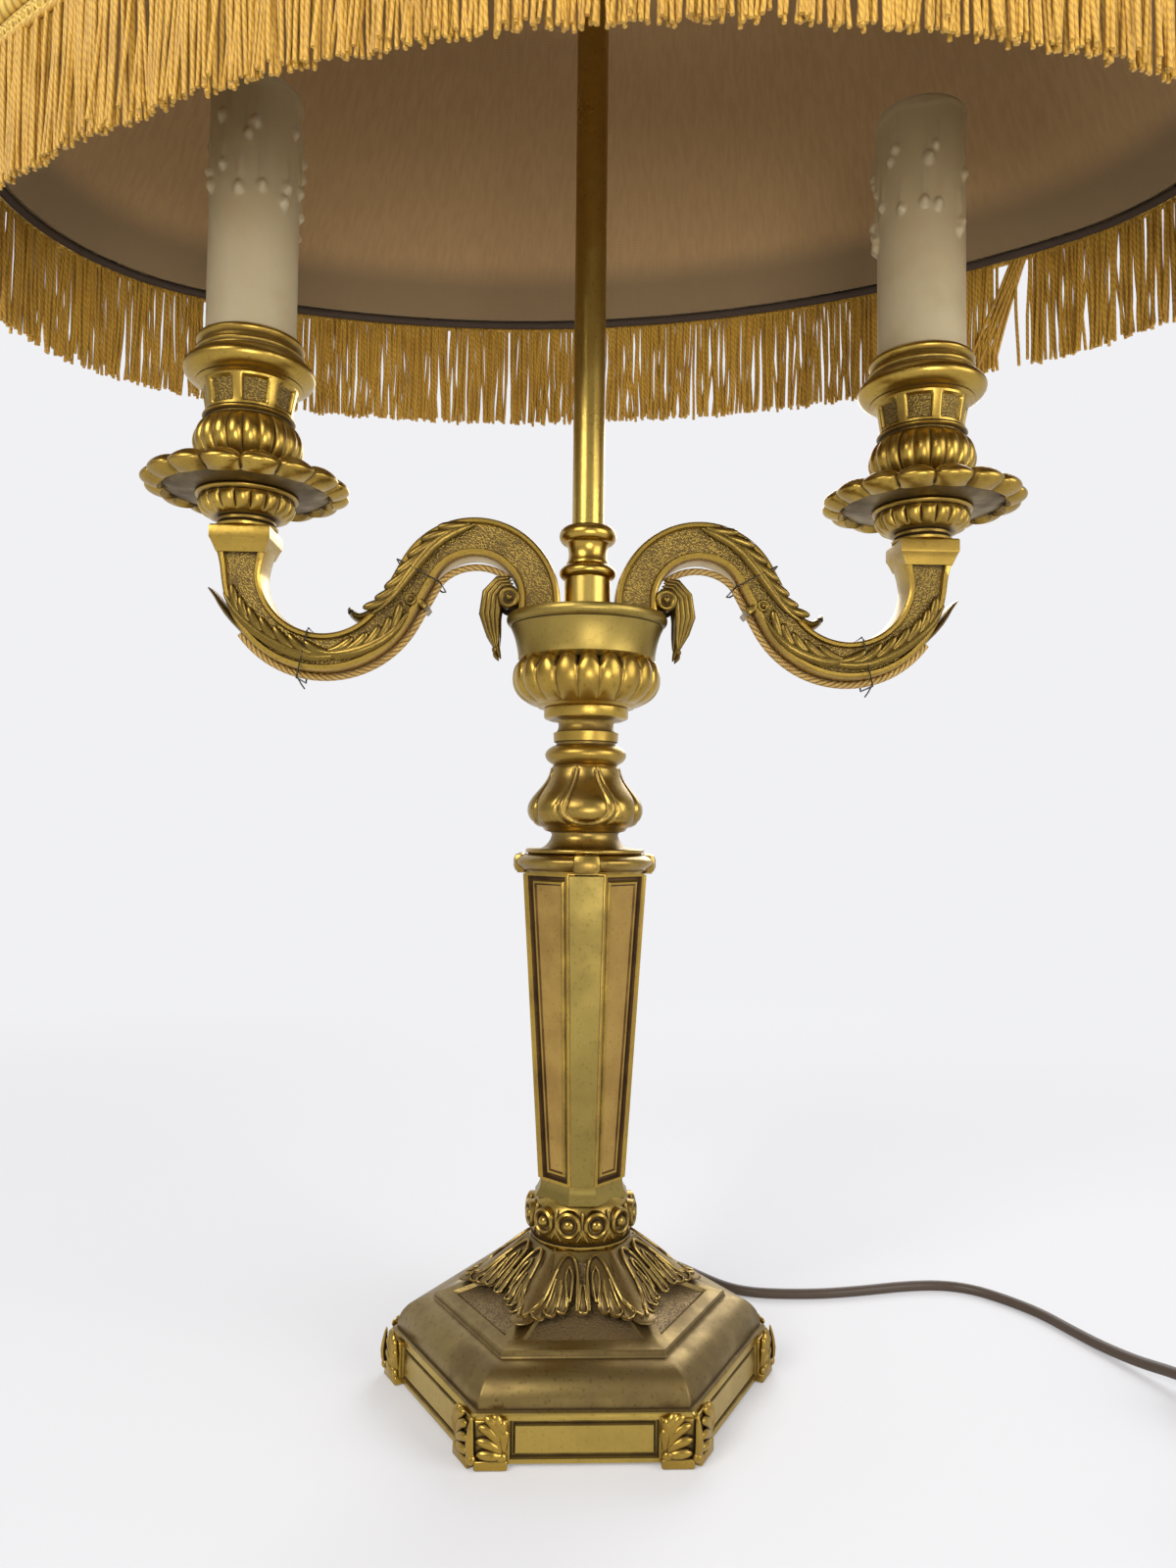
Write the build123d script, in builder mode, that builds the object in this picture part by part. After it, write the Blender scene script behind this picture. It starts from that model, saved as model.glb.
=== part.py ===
from build123d import *
import math
import os

os.makedirs("parts", exist_ok=True)

# Candelabra table lamp: hexagonal base, column, two scroll arms with candle sleeves, oval shade.
# Millimetres, +Z up, origin at the middle of the base's resting face, X along the arms, front at -Y.

# Clearances
bore_clearance = 0.15
running_gap = 0.3
seat_gap = 0.2

# Base
felt_thickness = 1.0
felt_inset = 3.0
plinth_radius = 57.4
plinth_height = 13.0
plinth_wall = 6.0
plinth_panel_margin = 9.5
plinth_panel_rim = 1.8
panel_depth = 0.9
cushion_foot_radius = 55.6
cushion_height = 8.5
frame_radius = 45.6
frame_height = 1.5
frame_land = 2.6
slope_radius = 31.0
lower_slope_height = 5.0
upper_slope_height = 12.6
base_top_radius = 17.0
slope_panel_margin = 2.6
base_roof = 6.0
mount_reach = 9.5
mount_thickness = 2.4
foot_thickness = 4.6
foot_height = 4.6
collar_thickness = 2.4
leaf_tip_radius = 37.5
leaf_half_width = 10.0
collar_radius = 23.5

# Tie tube and the stack on it
tie_radius = 5.0
tie_bore_radius = 3.6
nut_radius = 9.5
nut_height = 6.0
washer_radius = 12.0
washer_thickness = 1.6
roundel_height = 13.3
roundel_belly_radius = 16.6
roundel_neck_radius = 14.4
roundel_count = 12
roundel_radius = 3.4
roundel_relief = 1.0
column_height = 97.2
column_foot_half = 13.0
column_low_half = 12.2
column_high_half = 18.2
strip_low_half = 3.8
strip_high_half = 5.6
column_foot_height = 4.2
column_panel_margin = 2.6
cap_height = 6.1
cap_radius = 22.0
strap_width = 8.6
strap_relief = 0.7
vase_height = 27.0
vase_flare_radius = 18.4
vase_neck_radius = 10.3
vase_belly_radius = 18.4
vase_foot_radius = 13.6
vase_top_radius = 10.4
knop_height = 18.1
knop_torus_radius = 12.75
knop_ring_radius = 10.2
knop_cove_radius = 8.0
knop_disc_radius = 13.2
bowl_height = 14.7
bowl_foot_radius = 15.4
bowl_belly_radius = 23.5
bowl_top_radius = 21.4
lobe_radius = 4.3
lobe_count = 20
cup_height = 14.0
cup_foot_radius = 21.4
cup_rim_radius = 25.3
cup_rim_height = 2.6
cup_wall = 2.0
cup_floor = 3.0
cup_ledge_height = 8.0
cup_ledge_width = 3.0
plate_thickness = 3.0
sleeve_radius = 7.2
sleeve_height = 15.0
spool_height = 16.3
spool_bead_radius = 8.95
spool_waist_radius = 6.2
spool_bead_height = 4.0

# Arms: a box section along two arcs joined by a straight
arm_thickness = 12.0
arm_depth = 12.5
arm_reach = 106.8
arch_radius = 20.0
arch_offset = 35.0
arm_root_rise = 7.0
scroll_radius = 25.0
scroll_lift = 8.0
upright_height = 6.8
arm_panel_border = 2.2
arm_panel_depth = 0.8
abacus_width = 18.4
abacus_depth = 16.0
abacus_height = 6.7
volute_radius = 5.3
volute_offset = 26.0
volute_lift = 2.5
curl_radius = 3.6
arm_screw_radius = 2.0
arm_screw_head_radius = 3.2
arm_screw_offset = 12.4
arm_screw_head_height = 2.2
arm_screw_grip = 6.0
flex_radius = 1.1
flex_start_angle = 37.0
flex_end_angle = 216.0
tie_wire = 0.8

# Candle holders, from the abacus up
nipple_radius = 5.0
nipple_bore_radius = 3.4
nipple_depth = 6.0
pan_cup_height = 11.0
pan_cup_radius = 15.3
pan_cup_neck_radius = 8.8
pan_radius = 32.1
pan_thickness = 1.6
pan_dish = 4.0
pan_floor_radius = 17.0
scallop_count = 16
scallop_radius = 6.2
socket_height = 47.2
socket_foot_radius = 10.0
socket_gadroon_radius = 16.3
socket_neck_radius = 13.9
socket_torus_radius = 20.1
socket_rim_radius = 16.2
socket_rim_depth = 9.0
candle_radius = 13.75
candle_wall = 1.15
candle_length = 88.3
holder_clearance = 0.6
holder_below_top = 8.0
holder_neck_radius = 8.0
holder_neck_height = 8.0
screw_bore_radius = 7.1
screw_bore_depth = 22.0
contact_width = 4.0
contact_thickness = 0.6
contact_rise = 2.4
contact_well_radius = 6.2
contact_well_depth = 3.0

# Stem and shade: the oval is drawn with four arcs
stem_exposed = 304.5
stud_radius = 3.0
stud_length = 16.0
seat_radius = 9.0
seat_height = 9.0
shade_turn = -10.7
shade_height = 200.0
shade_half_length = 200.4
shade_half_width = 107.8
top_half_length = 120.0
top_half_width = 72.0
ring_wire_radius = 1.5
rib_radius = 1.2
ribs_per_arc = 2
spider_rise = 12.5
hub_radius = 10.5
hub_thickness = 2.0
cover_thickness = 1.0
lining_thickness = 0.8
fabric_gap = 0.4
gimp_height = 8.0
gimp_thickness = 2.0
roll_radius = 2.7
fringe_length = 38.9
fringe_header = 6.0
fringe_thickness = 1.8
strand_count = 240
strand_width = 2.2
finial_height = 26.0
finial_radius = 7.0

# Wiring in the base
terminal_length = 22.0
terminal_width = 12.0
terminal_height = 9.0
lead_radius = 1.1

# Mains cord, its coil and what is on it
cord_radius = 1.7
cord_exit_height = 7.0
relief_length = 20.0
relief_root_radius = 4.2
relief_tip_radius = 2.6
relief_neck_radius = 3.2
coil_layers = 4
coil_turns = 3
coil_gap = 0.6
coil_outer_radius = 22.9
tie_band_width = 5.0
tie_band_thickness = 1.0
switch_length = 52.0
switch_width = 18.0
switch_half_height = 6.5
switch_wall = 2.0
rocker_length = 14.0
rocker_width = 8.0
rocker_rise = 2.0
rocker_pivot_proud = 0.8
switch_screw_radius = 1.6
coil_lead = 34.0
switch_grip = 4.0
plug_length = 36.0
plug_width = 26.0
plug_nose_width = 17.0
plug_thickness = 13.7
pin_radius = 2.0
pin_length = 19.0
pin_pitch = 19.0
pin_root = 6.0

# Heights of the stack, each from the one below
felt_top = felt_thickness
plinth_top = felt_top + plinth_height
cushion_top = plinth_top + cushion_height
frame_top = cushion_top + frame_height
slope_z = frame_top + lower_slope_height
base_top = slope_z + upper_slope_height
roundel_top = base_top + roundel_height
column_top = roundel_top + column_height
cap_top = column_top + cap_height
vase_top = cap_top + vase_height
knop_top = vase_top + knop_height
bowl_top = knop_top + bowl_height
cup_top = bowl_top + cup_height
plate_bottom = bowl_top + cup_ledge_height
plate_top = plate_bottom + plate_thickness
sleeve_top = plate_top + sleeve_height
spool_top = sleeve_top + spool_height
stack_bore = tie_radius + bore_clearance

# Arm layout in the XZ plane, for the left arm
arch_z = plate_top + arm_root_rise
scroll_z = arch_z + scroll_lift
scroll_offset = arm_reach - scroll_radius
abacus_bottom = scroll_z + upright_height
abacus_top = abacus_bottom + abacus_height
centre_gap = math.hypot(scroll_offset - arch_offset, scroll_lift)
centre_angle = math.degrees(math.atan2(scroll_lift, arch_offset - scroll_offset))
arm_angle = centre_angle - math.degrees(math.acos((arch_radius + scroll_radius) / centre_gap))
arm_turn = Vector(math.cos(math.radians(arm_angle)), math.sin(math.radians(arm_angle)))
arch_centre = Vector(-arch_offset, arch_z)
scroll_centre = Vector(-scroll_offset, scroll_z)
volute_centre = (-volute_offset, arch_z + volute_lift)

# Candle holder heights
pan_cup_top = abacus_top + pan_cup_height
pan_floor = pan_cup_top + pan_thickness
socket_top = pan_floor + socket_height
candle_seat = socket_top - socket_rim_depth
candle_bottom = candle_seat + seat_gap
candle_top = candle_bottom + candle_length
holder_top = candle_top - holder_below_top
holder_radius = candle_radius - candle_wall - holder_clearance
screw_shelf = holder_top - screw_bore_depth
contact_floor = screw_shelf - contact_well_depth

# Shade heights
stem_top = spool_top + stem_exposed
hub_bottom = stem_top + seat_gap
hub_top = hub_bottom + hub_thickness
top_ring_z = hub_bottom + hub_thickness / 2 + spider_rise
ring_z = top_ring_z - shade_height
cover_inside = ring_wire_radius + fabric_gap
cover_outside = cover_inside + cover_thickness
lining_outside = ring_wire_radius + fabric_gap
trim_inside = cover_outside + seat_gap


def save(piece, name):
    """Label a finished piece and write it under its name."""
    piece.part.label = name
    export_step(piece.part, f"parts/{name}.step")


def hexagon(radius, height):
    """A hexagon with one flat to the front, on a level plane."""
    with BuildSketch(Plane.XY.offset(height)) as drawn:
        RegularPolygon(radius, 6)
    return drawn.sketch


def upright_plane(axis_x=0.0):
    """The XZ plane through an upright axis."""
    return Plane((axis_x, 0, 0), x_dir=(1, 0, 0), z_dir=(0, -1, 0))


def upright_axis(axis_x=0.0):
    """The upright axis that a turned piece is revolved about."""
    return Axis((axis_x, 0, 0), (0, 0, 1))


def outline_face(outline, axis_x=0.0):
    """A closed outline of (radius, height) points; a nested pair is an arc's middle and end."""
    with BuildSketch(upright_plane(axis_x)) as drawn:
        with BuildLine():
            here = outline[0]
            for step in outline[1:] + outline[:1]:
                if isinstance(step[0], tuple):
                    ThreePointArc(here, step[0], step[1])
                    here = step[1]
                else:
                    Line(here, step)
                    here = step
        make_face()
    return drawn.sketch


def side_plane(angle, distance, height, lean=0.0):
    """A plane that faces outwards at an angle about Z, leaning up by some degrees."""
    turn = math.radians(angle)
    tilt = math.radians(lean)
    facing = (math.cos(turn) * math.cos(tilt), math.sin(turn) * math.cos(tilt), math.sin(tilt))
    origin = (distance * math.cos(turn), distance * math.sin(turn), height)
    return Plane(origin, x_dir=(-math.sin(turn), math.cos(turn), 0), z_dir=facing)


def shade_plane(height):
    """A level plane turned with the shade."""
    turn = math.radians(shade_turn)
    return Plane((0, 0, height), x_dir=(math.cos(turn), math.sin(turn), 0))


def oval_wire(half_length, half_width, plane):
    """Four tangent arcs that make an oval: the end arcs turn 120 degrees, the side arcs 60."""
    spread = (half_length - half_width) / (1 + math.sqrt(3) - 2)
    drop = spread * math.sqrt(3)
    end_radius = half_length - spread
    side_radius = half_width + drop
    with BuildLine(plane) as drawn:
        CenterArc((spread, 0), end_radius, -60, 120)
        CenterArc((0, -drop), side_radius, 60, 60)
        CenterArc((-spread, 0), end_radius, 120, 120)
        CenterArc((0, drop), side_radius, 240, 60)
    return drawn.wire()


def shade_halves(height):
    """Half length and half width of the shade's wire line at a height."""
    share = (height - ring_z) / shade_height
    half_length = shade_half_length + share * (top_half_length - shade_half_length)
    half_width = shade_half_width + share * (top_half_width - shade_half_width)
    return half_length, half_width


def oval_face(height, offset):
    """The shade's oval at a height, grown by an offset."""
    half_length, half_width = shade_halves(height)
    wire = oval_wire(half_length + offset, half_width + offset, Plane.XY)
    with BuildSketch(shade_plane(height)) as drawn:
        make_face(wire.edges())
    return drawn.sketch


def oval_band(height, inside, outside):
    """The space between two ovals about the foot of the shade, on a level plane."""
    outer = oval_wire(shade_half_length + outside, shade_half_width + outside, Plane.XY)
    inner = oval_wire(shade_half_length + inside, shade_half_width + inside, Plane.XY)
    with BuildSketch(shade_plane(height)) as drawn:
        make_face(outer.edges())
        make_face(inner.edges(), mode=Mode.SUBTRACT)
    return drawn.sketch


# Felt under the base
with BuildPart() as felt_pad:
    extrude(hexagon(plinth_radius - felt_inset, 0), amount=felt_thickness)
    with BuildSketch():
        Circle(washer_radius + felt_inset)
    extrude(amount=felt_thickness, mode=Mode.SUBTRACT)
save(felt_pad, "felt_pad")

# Base casting: plinth, cushion, frame step and sloping top, hollow from below
plinth_apothem = plinth_radius * math.cos(math.radians(30))
nut_seat = base_top - base_roof
cavity_z = cushion_top - base_roof
with BuildPart() as base_casting:
    extrude(hexagon(plinth_radius, felt_top), amount=plinth_height)
    cushion = []
    for turn in (0, 30, 60, 90):
        shrink = (cushion_foot_radius - frame_radius) * (1 - math.cos(math.radians(turn)))
        rise = cushion_height * math.sin(math.radians(turn))
        cushion.append(hexagon(cushion_foot_radius - shrink, plinth_top + rise))
    loft(cushion, ruled=True)
    extrude(hexagon(frame_radius, cushion_top), amount=frame_height)
    slopes = [
        hexagon(frame_radius - frame_land, frame_top),
        hexagon(slope_radius, slope_z),
        hexagon(base_top_radius, base_top),
    ]
    loft(slopes, ruled=True)
    cavity = [
        hexagon(plinth_radius - plinth_wall, felt_top),
        hexagon(frame_radius - plinth_wall, cavity_z),
    ]
    loft(cavity, ruled=True, mode=Mode.SUBTRACT)
    with BuildSketch(Plane.XY.offset(felt_top)):
        Circle(washer_radius + running_gap)
    extrude(amount=nut_seat - felt_top, mode=Mode.SUBTRACT)
    with BuildSketch():
        Circle(stack_bore)
    extrude(amount=base_top, mode=Mode.SUBTRACT)
    slope_run = (frame_radius - frame_land - slope_radius) * math.cos(math.radians(30))
    slope_lean = math.degrees(math.atan2(slope_run, lower_slope_height))
    slope_half = math.hypot(slope_run, lower_slope_height) / 2
    slope_mid = (frame_radius - frame_land + slope_radius) / 2 * math.cos(math.radians(30))
    low_half = (frame_radius - frame_land) / 2 - slope_panel_margin
    high_half = slope_radius / 2 - slope_panel_margin
    for side in range(6):
        facing = 30 + 60 * side
        with BuildSketch(side_plane(facing, plinth_apothem, felt_top + plinth_height / 2)):
            Rectangle(
                plinth_radius - 2 * plinth_panel_margin,
                plinth_height - 2 * plinth_panel_rim,
            )
        extrude(amount=-panel_depth, mode=Mode.SUBTRACT)
        with BuildSketch(side_plane(facing, slope_mid, (frame_top + slope_z) / 2, slope_lean)):
            Polygon(
                (-low_half, -slope_half + slope_panel_margin),
                (low_half, -slope_half + slope_panel_margin),
                (high_half, slope_half),
                (-high_half, slope_half),
                align=None,
            )
        extrude(amount=-panel_depth, mode=Mode.SUBTRACT)
    with BuildSketch(side_plane(90, plinth_apothem, cord_exit_height)):
        Circle(relief_neck_radius)
    extrude(amount=-2 * plinth_wall, mode=Mode.SUBTRACT)
save(base_casting, "base_casting")

# Foliate mounts on the six corners of the plinth, each with a foot block
with BuildPart() as corner_mounts:
    for corner in range(6):
        turn = math.radians(60 * corner)
        at_corner = (plinth_radius * math.cos(turn), plinth_radius * math.sin(turn))
        for thickness, height in ((mount_thickness, plinth_top), (foot_thickness, foot_height)):
            with BuildSketch():
                with Locations(at_corner):
                    Circle(mount_reach)
                RegularPolygon(plinth_radius + thickness / math.cos(math.radians(30)), 6, mode=Mode.INTERSECT)
                RegularPolygon(plinth_radius, 6, mode=Mode.SUBTRACT)
            extrude(amount=height)
save(corner_mounts, "corner_mounts")

# Leaf collar: a shell over the sloping top, cut to leaf tips on the corners
with BuildPart() as leaf_collar:
    shell = [
        hexagon(frame_radius - frame_land + collar_thickness, frame_top),
        hexagon(slope_radius + collar_thickness, slope_z + collar_thickness / 3),
        hexagon(base_top_radius + collar_thickness, base_top),
    ]
    loft(shell, ruled=True)
    with BuildSketch(Plane.XY.offset(frame_top)):
        Circle(collar_radius)
        with PolarLocations(leaf_tip_radius / 2, 6):
            Ellipse(leaf_tip_radius / 2, leaf_half_width)
    extrude(amount=base_top - frame_top, mode=Mode.INTERSECT)
    add(base_casting.part, mode=Mode.SUBTRACT)
    collar_core = hexagon(base_top_radius - collar_thickness, frame_top)
    extrude(collar_core, amount=base_top - frame_top, mode=Mode.SUBTRACT)
save(leaf_collar, "leaf_collar")

# Tie tube with its nut and washer under the roof of the base
tie_top = sleeve_top + spool_height / 2 - seat_gap
tie_bottom = nut_seat - washer_thickness - nut_height - seat_gap
with BuildPart() as tie_tube:
    with BuildSketch(Plane.XY.offset(tie_bottom)):
        Circle(tie_radius)
        Circle(tie_bore_radius, mode=Mode.SUBTRACT)
    extrude(amount=tie_top - tie_bottom)
save(tie_tube, "tie_tube")

with BuildPart() as lock_washer:
    with BuildSketch(Plane.XY.offset(nut_seat - washer_thickness)):
        Circle(washer_radius)
        Circle(stack_bore, mode=Mode.SUBTRACT)
    extrude(amount=washer_thickness)
save(lock_washer, "lock_washer")

with BuildPart() as lock_nut:
    with BuildSketch(Plane.XY.offset(nut_seat - washer_thickness - nut_height)):
        RegularPolygon(nut_radius, 6)
        Circle(stack_bore, mode=Mode.SUBTRACT)
    extrude(amount=nut_height)
save(lock_nut, "lock_nut")

# Roundel ring: a rounded drum with a belt of small bosses
with BuildPart() as roundel_ring:
    drum = [
        (stack_bore, base_top),
        (roundel_neck_radius, base_top),
        ((roundel_belly_radius, base_top + roundel_height / 2), (roundel_neck_radius, roundel_top)),
        (stack_bore, roundel_top),
    ]
    revolve(outline_face(drum), axis=upright_axis())
    for boss in range(roundel_count):
        facing = (boss + 0.5) * 360 / roundel_count
        with BuildSketch(side_plane(facing, roundel_neck_radius, base_top + roundel_height / 2)):
            Circle(roundel_radius)
        extrude(amount=roundel_belly_radius - roundel_neck_radius + roundel_relief)
save(roundel_ring, "roundel_ring")


# Column: eight sides, narrow plain strips and wide sides with recessed panels
def column_section(half, strip_half, height):
    """An octagon with narrow flats on the axes and wide flats between them."""
    corners = [
        (strip_half, -half),
        (half, -strip_half),
        (half, strip_half),
        (strip_half, half),
        (-strip_half, half),
        (-half, strip_half),
        (-half, -strip_half),
        (-strip_half, -half),
    ]
    with BuildSketch(Plane.XY.offset(height)) as drawn:
        Polygon(*corners, align=None)
    return drawn.sketch


shaft_bottom = roundel_top + column_foot_height
shaft_height = column_top - shaft_bottom
low_face = (column_low_half + strip_low_half) / math.sqrt(2)
high_face = (column_high_half + strip_high_half) / math.sqrt(2)
panel_lean = -math.degrees(math.atan2(high_face - low_face, shaft_height))
low_panel_half = (column_low_half - strip_low_half) / math.sqrt(2) - column_panel_margin
high_panel_half = (column_high_half - strip_high_half) / math.sqrt(2) - column_panel_margin
panel_half_height = shaft_height / 2 - column_panel_margin
with BuildPart() as column:
    sections = [
        column_section(column_foot_half, strip_low_half, roundel_top),
        column_section(column_low_half, strip_low_half, shaft_bottom),
        column_section(column_high_half, strip_high_half, column_top),
    ]
    loft(sections, ruled=True)
    for side in range(4):
        facing = 45 + 90 * side
        middle = shaft_bottom + shaft_height / 2
        with BuildSketch(side_plane(facing, (low_face + high_face) / 2, middle, panel_lean)):
            Polygon(
                (-low_panel_half, -panel_half_height),
                (low_panel_half, -panel_half_height),
                (high_panel_half, panel_half_height),
                (-high_panel_half, panel_half_height),
                align=None,
            )
        extrude(amount=-panel_depth, mode=Mode.SUBTRACT)
    with BuildSketch(Plane.XY.offset(roundel_top)):
        Circle(stack_bore)
    extrude(amount=column_height, mode=Mode.SUBTRACT)
save(column, "column")

# Column cap: a torus with four straps
cap_half = cap_height / 2
cap_middle = column_top + cap_half
with BuildPart() as column_cap:
    ring = [
        (stack_bore, column_top),
        (cap_radius - cap_half, column_top),
        ((cap_radius, cap_middle), (cap_radius - cap_half, cap_top)),
        (stack_bore, cap_top),
    ]
    revolve(outline_face(ring), axis=upright_axis())
    for side in range(4):
        with BuildSketch(side_plane(90 * side + 90, 0, 0)):
            with Locations((cap_radius - cap_half, cap_middle)):
                Rectangle(cap_half + strap_relief, cap_height, align=(Align.MIN, Align.CENTER))
        extrude(amount=strap_width / 2, both=True)
save(column_cap, "column_cap")

# Vase knop with its flared foot and narrow neck
vase_belly_z = cap_top + 0.59 * vase_height
vase_foot_z = cap_top + 0.31 * vase_height
vase_neck_z = cap_top + 0.2 * vase_height
with BuildPart() as vase_knop:
    vase = [
        (stack_bore, cap_top),
        (vase_flare_radius, cap_top),
        (vase_flare_radius, cap_top + 0.05 * vase_height),
        (vase_neck_radius, vase_neck_z),
        (vase_foot_radius, vase_foot_z),
        ((vase_belly_radius, vase_belly_z), (vase_top_radius, vase_top)),
        (stack_bore, vase_top),
    ]
    revolve(outline_face(vase), axis=upright_axis())
save(vase_knop, "vase_knop")

# Turned knop: torus, ring, cove and disc
knop_torus_half = 0.16 * knop_height
knop_ring_z = vase_top + 0.38 * knop_height
knop_cove_z = vase_top + 0.7 * knop_height
knop_disc_z = vase_top + 0.81 * knop_height
with BuildPart() as turned_knop:
    knop = [
        (stack_bore, vase_top),
        (knop_torus_radius - knop_torus_half, vase_top),
        (
            (knop_torus_radius, vase_top + knop_torus_half),
            (knop_torus_radius - knop_torus_half, vase_top + 2 * knop_torus_half),
        ),
        (knop_ring_radius, knop_ring_z),
        (knop_ring_radius, knop_ring_z + 0.19 * knop_height),
        (knop_cove_radius, knop_cove_z),
        (knop_disc_radius, knop_disc_z),
        (knop_disc_radius, knop_top),
        (stack_bore, knop_top),
    ]
    revolve(outline_face(knop), axis=upright_axis())
save(turned_knop, "turned_knop")

# Gadrooned bowl: a round core with a belt of lobes
bowl_belly_z = knop_top + 0.53 * bowl_height
with BuildPart() as gadroon_bowl:
    core = [
        (stack_bore, knop_top),
        (bowl_foot_radius, knop_top),
        ((bowl_belly_radius - lobe_radius / 3, bowl_belly_z), (bowl_top_radius, bowl_top)),
        (stack_bore, bowl_top),
    ]
    revolve(outline_face(core), axis=upright_axis())
    with Locations((0, 0, bowl_belly_z)):
        with PolarLocations(bowl_belly_radius - lobe_radius, lobe_count):
            Sphere(lobe_radius)
save(gadroon_bowl, "gadroon_bowl")

# Flared cup with a ledge inside, and the plate on the ledge that carries the arms
cup_flare_top = cup_top - cup_rim_height
ledge_radius = cup_foot_radius - cup_wall
with BuildPart() as flared_cup:
    cup = [
        (stack_bore, bowl_top),
        (cup_foot_radius, bowl_top),
        (cup_rim_radius, cup_flare_top),
        (cup_rim_radius, cup_top),
        (cup_rim_radius - cup_wall, cup_top),
        (cup_rim_radius - cup_wall, plate_top),
        (ledge_radius, plate_bottom),
        (ledge_radius - cup_ledge_width, plate_bottom),
        (ledge_radius - cup_ledge_width, bowl_top + cup_floor),
        (stack_bore, bowl_top + cup_floor),
    ]
    revolve(outline_face(cup), axis=upright_axis())
save(flared_cup, "flared_cup")

arm_root_x = arch_offset - arch_radius
with BuildPart() as cup_plate:
    with BuildSketch(Plane.XY.offset(plate_bottom)):
        Circle(ledge_radius - bore_clearance)
        Circle(stack_bore, mode=Mode.SUBTRACT)
        with GridLocations(2 * arm_screw_offset, 1, 2, 1):
            Circle(arm_screw_radius + bore_clearance, mode=Mode.SUBTRACT)
    extrude(amount=plate_thickness)
save(cup_plate, "cup_plate")

# Sleeve, spool collar and stem rod
with BuildPart() as stem_sleeve:
    with BuildSketch(Plane.XY.offset(plate_top)):
        Circle(sleeve_radius)
        Circle(stack_bore, mode=Mode.SUBTRACT)
    extrude(amount=sleeve_height)
save(stem_sleeve, "stem_sleeve")

bead_half = spool_bead_height / 2
with BuildPart() as spool_collar:
    spool = [
        (stack_bore, sleeve_top),
        (spool_bead_radius - bead_half, sleeve_top),
        (
            (spool_bead_radius, sleeve_top + bead_half),
            (spool_bead_radius - bead_half, sleeve_top + spool_bead_height),
        ),
        (spool_waist_radius, sleeve_top + spool_bead_height + bead_half),
        (spool_waist_radius, spool_top - spool_bead_height - bead_half),
        (spool_bead_radius - bead_half, spool_top - spool_bead_height),
        ((spool_bead_radius, spool_top - bead_half), (spool_bead_radius - bead_half, spool_top)),
        (stack_bore, spool_top),
    ]
    revolve(outline_face(spool), axis=upright_axis())
save(spool_collar, "spool_collar")

with BuildPart() as stem_rod:
    with BuildSketch(Plane.XY.offset(tie_top + seat_gap)):
        Circle(tie_radius)
    extrude(amount=stem_top - tie_top - seat_gap)
    with BuildSketch(Plane.XY.offset(stem_top)):
        Circle(stud_radius)
    extrude(amount=stud_length)
save(stem_rod, "stem_rod")

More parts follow.
